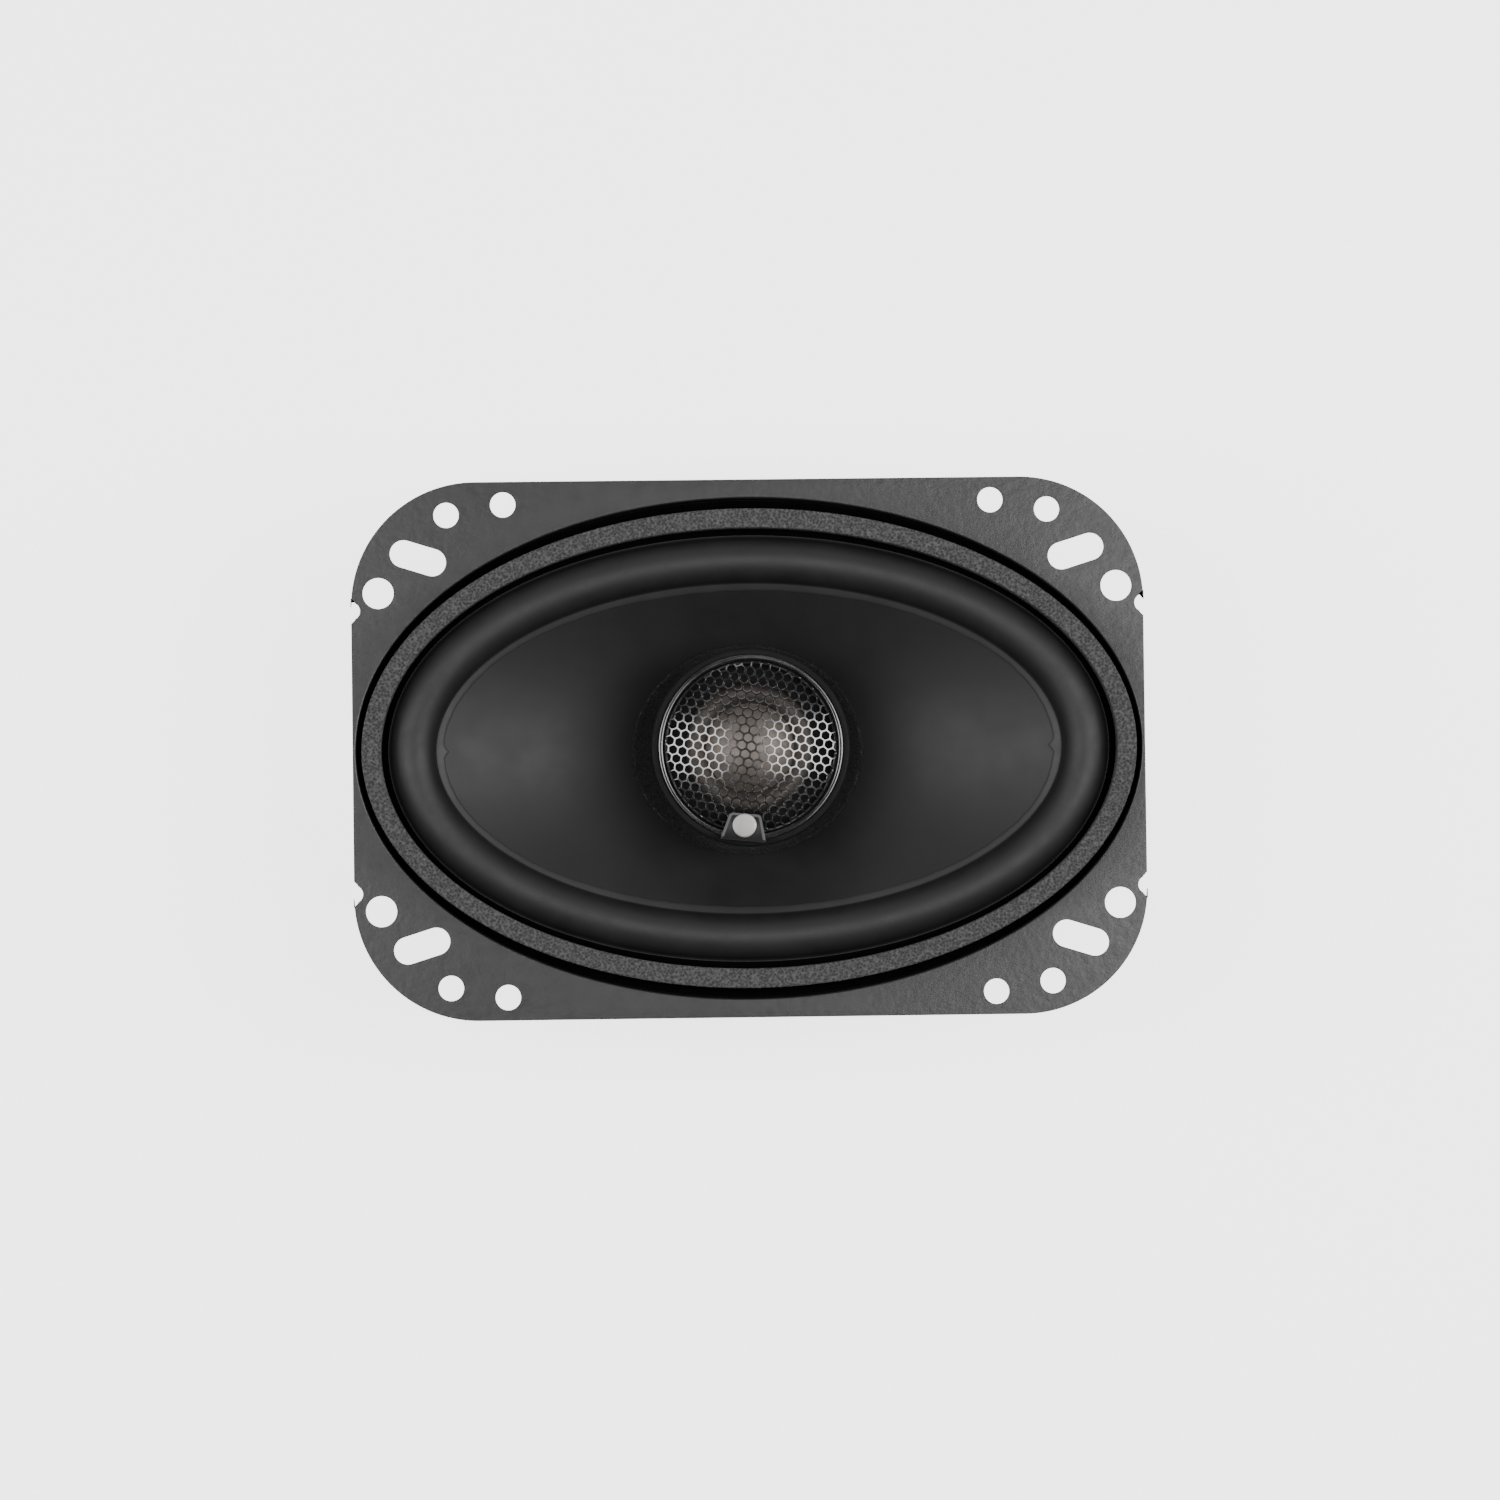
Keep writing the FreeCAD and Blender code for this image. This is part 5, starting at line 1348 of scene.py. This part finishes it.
def flat_ring(name, node, bore, radii):
    """A ring that fills the node's box outside a bore; radii round its corners, in millimetres."""
    foot, top, wide = low(node).z, high(node).z, high(node).x
    corners = [(bore, foot), (wide, foot), (wide, top), (bore, top)]
    return lathe(name, rounded_loop(corners, [value * MM for value in radii]), 240, 40)


def make_magnet():
    return flat_ring("magnet_ring", "magnet", 16 * MM, [0, 0.9, 0.9, 0.2])


def make_top_plate():
    return flat_ring("motor_top_plate", "top_plate", 13.75 * MM, [0.2, 0.35, 0.35, 0.2])


def make_basket_rivets():
    """Four domed rivet heads with their shanks."""
    seat, end = -30.1, -34.8
    profile = [(0.02, seat + 0.68), (1.2, seat + 0.62), (2.1, seat + 0.38), (2.6, seat),
               (1.5, seat), (1.5, end), (0.02, end)]
    heads = []
    for degrees in (45, 135, 225, 315):
        head = turned("rivet", [(radius * MM, z * MM) for radius, z in profile], 48)
        angle = math.radians(degrees)
        head.data.transform(Matrix.Translation((22 * MM * math.cos(angle), 22 * MM * math.sin(angle), 0)))
        heads.append(head)
    return join("basket_rivet_heads", heads, 50)


# ------------------------------------------------------------------ terminals, capacitor, leads


TERMINAL_X = 11
EYELET_Y = -43


def rectangle(left, right, near, far, radius):
    """A rounded rectangle outline in millimetres, anticlockwise."""
    corners = [(right, near), (right, far), (left, far), (left, near)]
    return rounded_loop(corners, [radius] * 4, 6)


def make_board():
    """The fibre card that carries both terminals, with its rivet hole and two eyelet holes."""
    bottom, top = low("terminal_board").z, high("terminal_board").z
    holes = [arc_points(0, EYELET_Y, 1.6, 0, 360, 33)[:-1]]
    holes += [arc_points(x, EYELET_Y, 1.3, 0, 360, 33)[:-1] for x in (-TERMINAL_X, TERMINAL_X)]
    card = rectangle(-16, 16, -47.4, -38.4, 1.2)
    return pressed_plate("terminal_card", card, holes, top, bottom, 0.12 * MM)


def make_terminal(name, node, middle, width):
    """A blade bent off a base strip, an eyelet through the board and a soldered lug in front."""
    board_back = low("terminal_board").z
    board_front = high("terminal_board").z
    thick = 0.8 * MM
    tip = low(node).z
    outer, inner = -47.4 * MM, -37.4 * MM
    section = [(inner, board_back), (outer, board_back), (outer, tip), (outer + thick, tip),
               (outer + thick, board_back - thick), (inner, board_back - thick)]
    section = rounded_loop(section, [value * MM for value in (0.1, 0.9, 0.25, 0.25, 0.3, 0.1)], 5)
    half = width / 2 * MM
    strip = prism("strip", section, "X", half)
    strip = apply_modifier(strip, "BEVEL", width=0.12 * MM, segments=2, limit_method="ANGLE")
    strip.data.transform(Matrix.Translation((middle * MM, 0, 0)))
    hole = bar("hole", 0.75 * MM, -1 * MM, 1 * MM, 32)
    hole.data.transform(Matrix.Translation((middle * MM, outer + thick / 2, tip + 3 * MM))
                        @ Matrix.Rotation(math.radians(90), 4, "X"))
    strip = combine(strip, hole, "DIFFERENCE")
    barrel = bar("barrel", 1.2 * MM, board_back - 0.5 * MM, board_front + 0.3 * MM, 40)
    barrel.data.transform(Matrix.Translation((middle * MM, EYELET_Y * MM, 0)))
    lug = pressed_plate("lug", rectangle(middle - 1.5, middle + 1.5, -44.5, -41.5, 0.5), [],
                        board_front + 0.5 * MM, board_front, 0.1 * MM)
    bead = ((0.02, 1.15), (0.5, 1.0), (0.9, 0.65), (1.25, 0.45), (0.02, 0.4))
    solder = turned("solder", [(radius * MM, board_front + rise * MM) for radius, rise in bead], 40)
    solder.data.transform(Matrix.Translation((middle * MM, EYELET_Y * MM, 0)))
    return join(name, [strip, barrel, lug, solder], 40)


def capacitor_centre():
    """Middle of the can, which lies along X on the terminal board."""
    return Vector((0, -42 * MM, high("crossover_capacitor").z - 4 * MM))


def make_capacitor():
    """An axial can in a shrunk sleeve, with a groove near its sealed end."""
    corners = [(0.02, -7.5), (3.5, -7.5), (4.0, -7.0), (4.0, -5.6), (3.75, -5.3), (4.0, -5.0),
               (4.0, 6.4), (3.9, 7.5), (3.3, 7.5), (3.2, 7.3), (0.02, 7.3)]
    can = turned("can", [(radius * MM, z * MM) for radius, z in corners], 72, 30)
    lie_down = Matrix.Rotation(math.radians(90), 4, "Y")
    can.data.transform(Matrix.Translation(capacitor_centre()) @ lie_down)
    return can


def make_pins():
    """The capacitor's two wires, the right one bent down to the board."""
    centre = capacitor_centre()
    foot = high("terminal_board").z + 0.5 * MM
    left = [centre + Vector((x * MM, 0, 0)) for x in (-7.2, -8.4, -9.7)]
    right = [centre + Vector((x * MM, 0, 0)) for x in (7.2, 8.6, 9.4)]
    right += [centre + Vector((9.7 * MM, 0, -0.6 * MM)), Vector((9.7 * MM, centre.y, (centre.z + foot) / 2)),
              Vector((9.7 * MM, centre.y, foot))]
    pins = [tube_mesh("pin", points, 0.35 * MM) for points in (left, right)]
    return join("capacitor_pins", pins, 60)


def spline_points(points):
    """Points along the smooth line that has the given control points."""
    holder = new_object("route", smooth_curve("route", points, 24))
    mesh = bpy.data.meshes.new_from_object(holder)
    line = [vertex.co.copy() for vertex in mesh.vertices]
    bpy.data.objects.remove(holder)
    return line


def stranded(name, points, radius, pitch, strands=4, sides=7):
    """A twisted lead: strands wound round a line of points."""
    line = spline_points(points)
    lengths = [0.0]
    for near, far in zip(line, line[1:]):
        lengths.append(lengths[-1] + (far - near).length)
    bm = bmesh.new()
    thin = radius * 0.52
    side = Vector((1, 0, 0))
    frames = []
    for index, point in enumerate(line):
        ahead = (line[min(index + 1, len(line) - 1)] - line[max(index - 1, 0)]).normalized()
        side = (side - ahead * side.dot(ahead)).normalized()
        frames.append((point, side.copy(), ahead.cross(side)))
    for strand in range(strands):
        rows = []
        for (point, across, up), run in zip(frames, lengths):
            angle = 2 * math.pi * (run / pitch + strand / strands)
            middle = point + (across * math.cos(angle) + up * math.sin(angle)) * (radius - thin)
            rows.append([bm.verts.new(middle + (across * math.cos(t) + up * math.sin(t)) * thin)
                         for t in np.linspace(0, 2 * math.pi, sides, endpoint=False)])
        bridge(bm, rows)
        bm.faces.new(rows[0])
        bm.faces.new(rows[-1])
    return object_from_bmesh(name, bm, 60)


def tinsel_route(side):
    """The flexible lead's route from its solder lug up to the cone's eyelet."""
    foot = high("terminal_board").z + 0.5 * MM
    node = "tinsel_lead_positive" if side > 0 else "tinsel_lead_negative"
    top = high(node).z
    return [Vector(point) for point in (
        (side * TERMINAL_X * MM, EYELET_Y * MM, foot),
        (side * TERMINAL_X * MM, EYELET_Y * MM, foot + 6 * MM),
        (side * 8 * MM, -35 * MM, foot + 10.4 * MM),
        (side * 5 * MM, -20.2 * MM, top - 4 * MM),
        (side * 5 * MM, -17.2 * MM, top),
    )]


def tinsel_share(co):
    """0 at the terminal, 1 at the cone."""
    start, length = -38 * MM, 20 * MM
    return smooth_step((co.y - start) / length)


# ------------------------------------------------------------------ assembly

finish_piece(make_basket(), MATERIALS["coat"], "frame", "basket_steel", "basket")
# Painted shade: a near-black film over the recess and the land on both sides of the gasket.
finish_piece(make_painted_shade_film(), MATERIALS["painted_shade"], "frame", "surround_cloth")
finish_piece(make_gasket(), MATERIALS["gasket"], "frame", "gasket_board", "front_gasket")

surround = loft("surround_roll", surround_rings(864), closed=True, degrees=60)
surround.data.materials.append(MATERIALS["cloth"])
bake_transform(surround, "frame", "cone_assembly", start=(0, 0, -2 * MM), end=(0, 0, 3 * MM))
radial_blend(surround, surround_share)
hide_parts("surround")

finish_piece(make_cone(), MATERIALS["pulp"], "cone_assembly", "cone_paper", "cone")
finish_piece(make_felt(), MATERIALS["felt"], "cone_assembly", "felt", "felt_ring")
finish_piece(make_fuzz(), MATERIALS["felt"], "cone_assembly", "felt")

spider = make_spider()
spider.data.materials.append(MATERIALS["spider"])
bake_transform(spider, "frame", "cone_assembly", start=(0, 0, -26 * MM), end=(0, 0, -24 * MM))
radial_blend(spider, spider_share)
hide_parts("spider")

finish_piece(make_housing(), MATERIALS["moulding"], "frame", "housing_plastic", "tweeter_housing")
finish_piece(make_trim(), MATERIALS["trim"], "frame", "trim_metal", "tweeter_trim_ring")
grille, grille_edge = make_grille()
finish_piece(grille, MATERIALS["mesh"], "frame", "grille_metal", "tweeter_grille")
finish_piece(grille_edge, MATERIALS["moulding"], "frame", "grille_metal")
finish_piece(make_dome(), MATERIALS["foil"], "tweeter_diaphragm", "dome_foil", "tweeter_dome")

roll = make_tweeter_surround()
roll.data.materials.append(MATERIALS["roll"])
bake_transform(roll, "frame", "tweeter_diaphragm", start=(0, 0, 2 * MM), end=(0, 0, 5 * MM))
radial_blend(roll, tweeter_share)
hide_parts("tweeter_surround")

tab, tab_border = (turn_to_badge(part) for part in bordered_tab())
tab.name, tab_border.name = "badge_plate", "badge_border"
finish_piece(tab, MATERIALS["gloss"], "frame", "badge_plastic", "badge_tab")
finish_piece(tab_border, MATERIALS["border"], "frame", "badge_plastic")
finish_piece(make_disc(), MATERIALS["badge"], "frame", "badge_metal", "badge_disc")

finish_piece(make_boot(), MATERIALS["rubber"], "frame", "boot_rubber", "magnet_boot")
finish_piece(make_magnet(), MATERIALS["ferrite"], "frame", "ferrite", "magnet")
finish_piece(make_top_plate(), MATERIALS["zinc"], "frame", "plated_steel", "top_plate")
finish_piece(make_basket_rivets(), MATERIALS["zinc"], "frame", "rivet_steel", "basket_rivets")

finish_piece(make_board(), MATERIALS["board"], "frame", "fibre_board", "terminal_board")
positive = make_terminal("blade_positive", "terminal_positive", TERMINAL_X, 4.8)
negative = make_terminal("blade_negative", "terminal_negative", -TERMINAL_X, 2.8)
finish_piece(positive, MATERIALS["tin"], "frame", "tinned_brass", "terminal_positive")
finish_piece(negative, MATERIALS["tin"], "frame", "tinned_brass", "terminal_negative")
finish_piece(make_capacitor(), MATERIALS["sleeve"], "frame", "capacitor_sleeve", "crossover_capacitor")
finish_piece(make_pins(), MATERIALS["tin"], "frame", "tinned_brass")

for side, label in ((1, "positive"), (-1, "negative")):
    lead = stranded(f"tinsel_{label}", tinsel_route(side), 0.6 * MM, 3.2 * MM)
    lead.data.materials.append(MATERIALS["braid"])
    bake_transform(lead, "frame", "cone_assembly", start=(0, -40 * MM, 0), end=(0, -18 * MM, 0))
    radial_blend(lead, tinsel_share)
    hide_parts(f"tinsel_lead_{label}")

# The pieces whose CAD shape is already right keep it, with smooth shading and a real material.
KEPT = {
    "lead_eyelets": "brass",
    "voice_coil_former": "foil",
    "voice_coil_winding": "copper",
    "pole_yoke": "zinc",
    "tweeter_post": "zinc",
    "post_washer": "zinc",
    "post_nut": "zinc",
    "tweeter_cup": "zinc",
    "tweeter_magnet": "ferrite",
    "tweeter_pole_plate": "zinc",
    "tweeter_coil_former": "foil",
    "tweeter_coil_winding": "copper",
    "tweeter_diaphragm_ring": "moulding",
    "board_rivet": "zinc",
    "tweeter_lead_positive": "red",
    "tweeter_lead_negative": "black",
}
for node, material in KEPT.items():
    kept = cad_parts[node]
    kept.data.materials.clear()
    kept.data.materials.append(MATERIALS[material])
    shade_smooth(kept, 40)

# ------------------------------------------------------------------ floor, light and camera

FLOOR_Z = low("magnet_boot").z
FLOOR_SIZE = 6.0
FLOOR_GLOW = 2.6


def make_floor():
    """A pale glowing floor under the boot."""
    bm = bmesh.new()
    half = FLOOR_SIZE / 2
    corners = [bm.verts.new((x * half, y * half, FLOOR_Z)) for x, y in SIGNS]
    bm.faces.new(corners)
    floor = object_from_bmesh("floor", bm)
    made = Shader("floor_paint", (0.9, 0.9, 0.9), 0.8)
    made.roughness(made.spread(made.noise(30, 2), 0.3, 0.7, 0.75, 0.85))
    made.shader.inputs["Emission Color"].default_value = (1, 1, 1, 1)
    made.shader.inputs["Emission Strength"].default_value = FLOOR_GLOW
    floor.data.materials.append(made.material)


def area_light(name, place, width, height, power):
    """A rectangular lamp aimed at the middle of the flange."""
    data = bpy.data.lights.new(name, "AREA")
    data.shape = "RECTANGLE"
    data.size = width
    data.size_y = height
    data.energy = power
    lamp = new_object(name, data)
    lamp.location = place
    heading = Vector((0, 0, 0)) - Vector(place)
    lamp.rotation_euler = heading.to_track_quat("-Z", "Y").to_euler()


make_floor()
area_light("softbox_left", (-0.40, 0.02, 0.66), 0.32, 0.6, 4.4)
area_light("softbox_right", (0.39, 0.02, 0.66), 0.32, 0.6, 5.2)
area_light("softbox_top", (0.0, 0.95, 0.6), 0.9, 0.35, 1.6)
area_light("strip_left", (-0.8, 0.1, 0.34), 0.2, 0.5, 1.3)
area_light("strip_right", (0.8, 0.1, 0.34), 0.2, 0.5, 1.7)

world = bpy.data.worlds.new("studio")
world.use_nodes = True
world.node_tree.nodes["Background"].inputs["Color"].default_value = (1, 1, 1, 1)
world.node_tree.nodes["Background"].inputs["Strength"].default_value = 0.16
bpy.context.scene.world = world

CAMERA_TURN = [math.radians(angle) for angle in (-1.546, 1.713, 0.73)]
CAMERA_SHIFT = Vector((-0.053, 0.384, -1180.05)) * MM
turn_x, turn_y, turn_z = (Matrix.Rotation(turn, 3, axis) for turn, axis in zip(CAMERA_TURN, "XYZ"))
to_camera = turn_x @ turn_y @ turn_z
camera_data = bpy.data.cameras.new("camera")
camera_data.sensor_width = 36
camera_data.lens = 144
camera = new_object("camera", camera_data)
back = to_camera.transposed()
camera_place = Vector((0, 0, FLANGE_FRONT)) - back @ CAMERA_SHIFT
camera.matrix_world = Matrix.Translation(camera_place) @ back.to_4x4()
bpy.context.scene.camera = camera
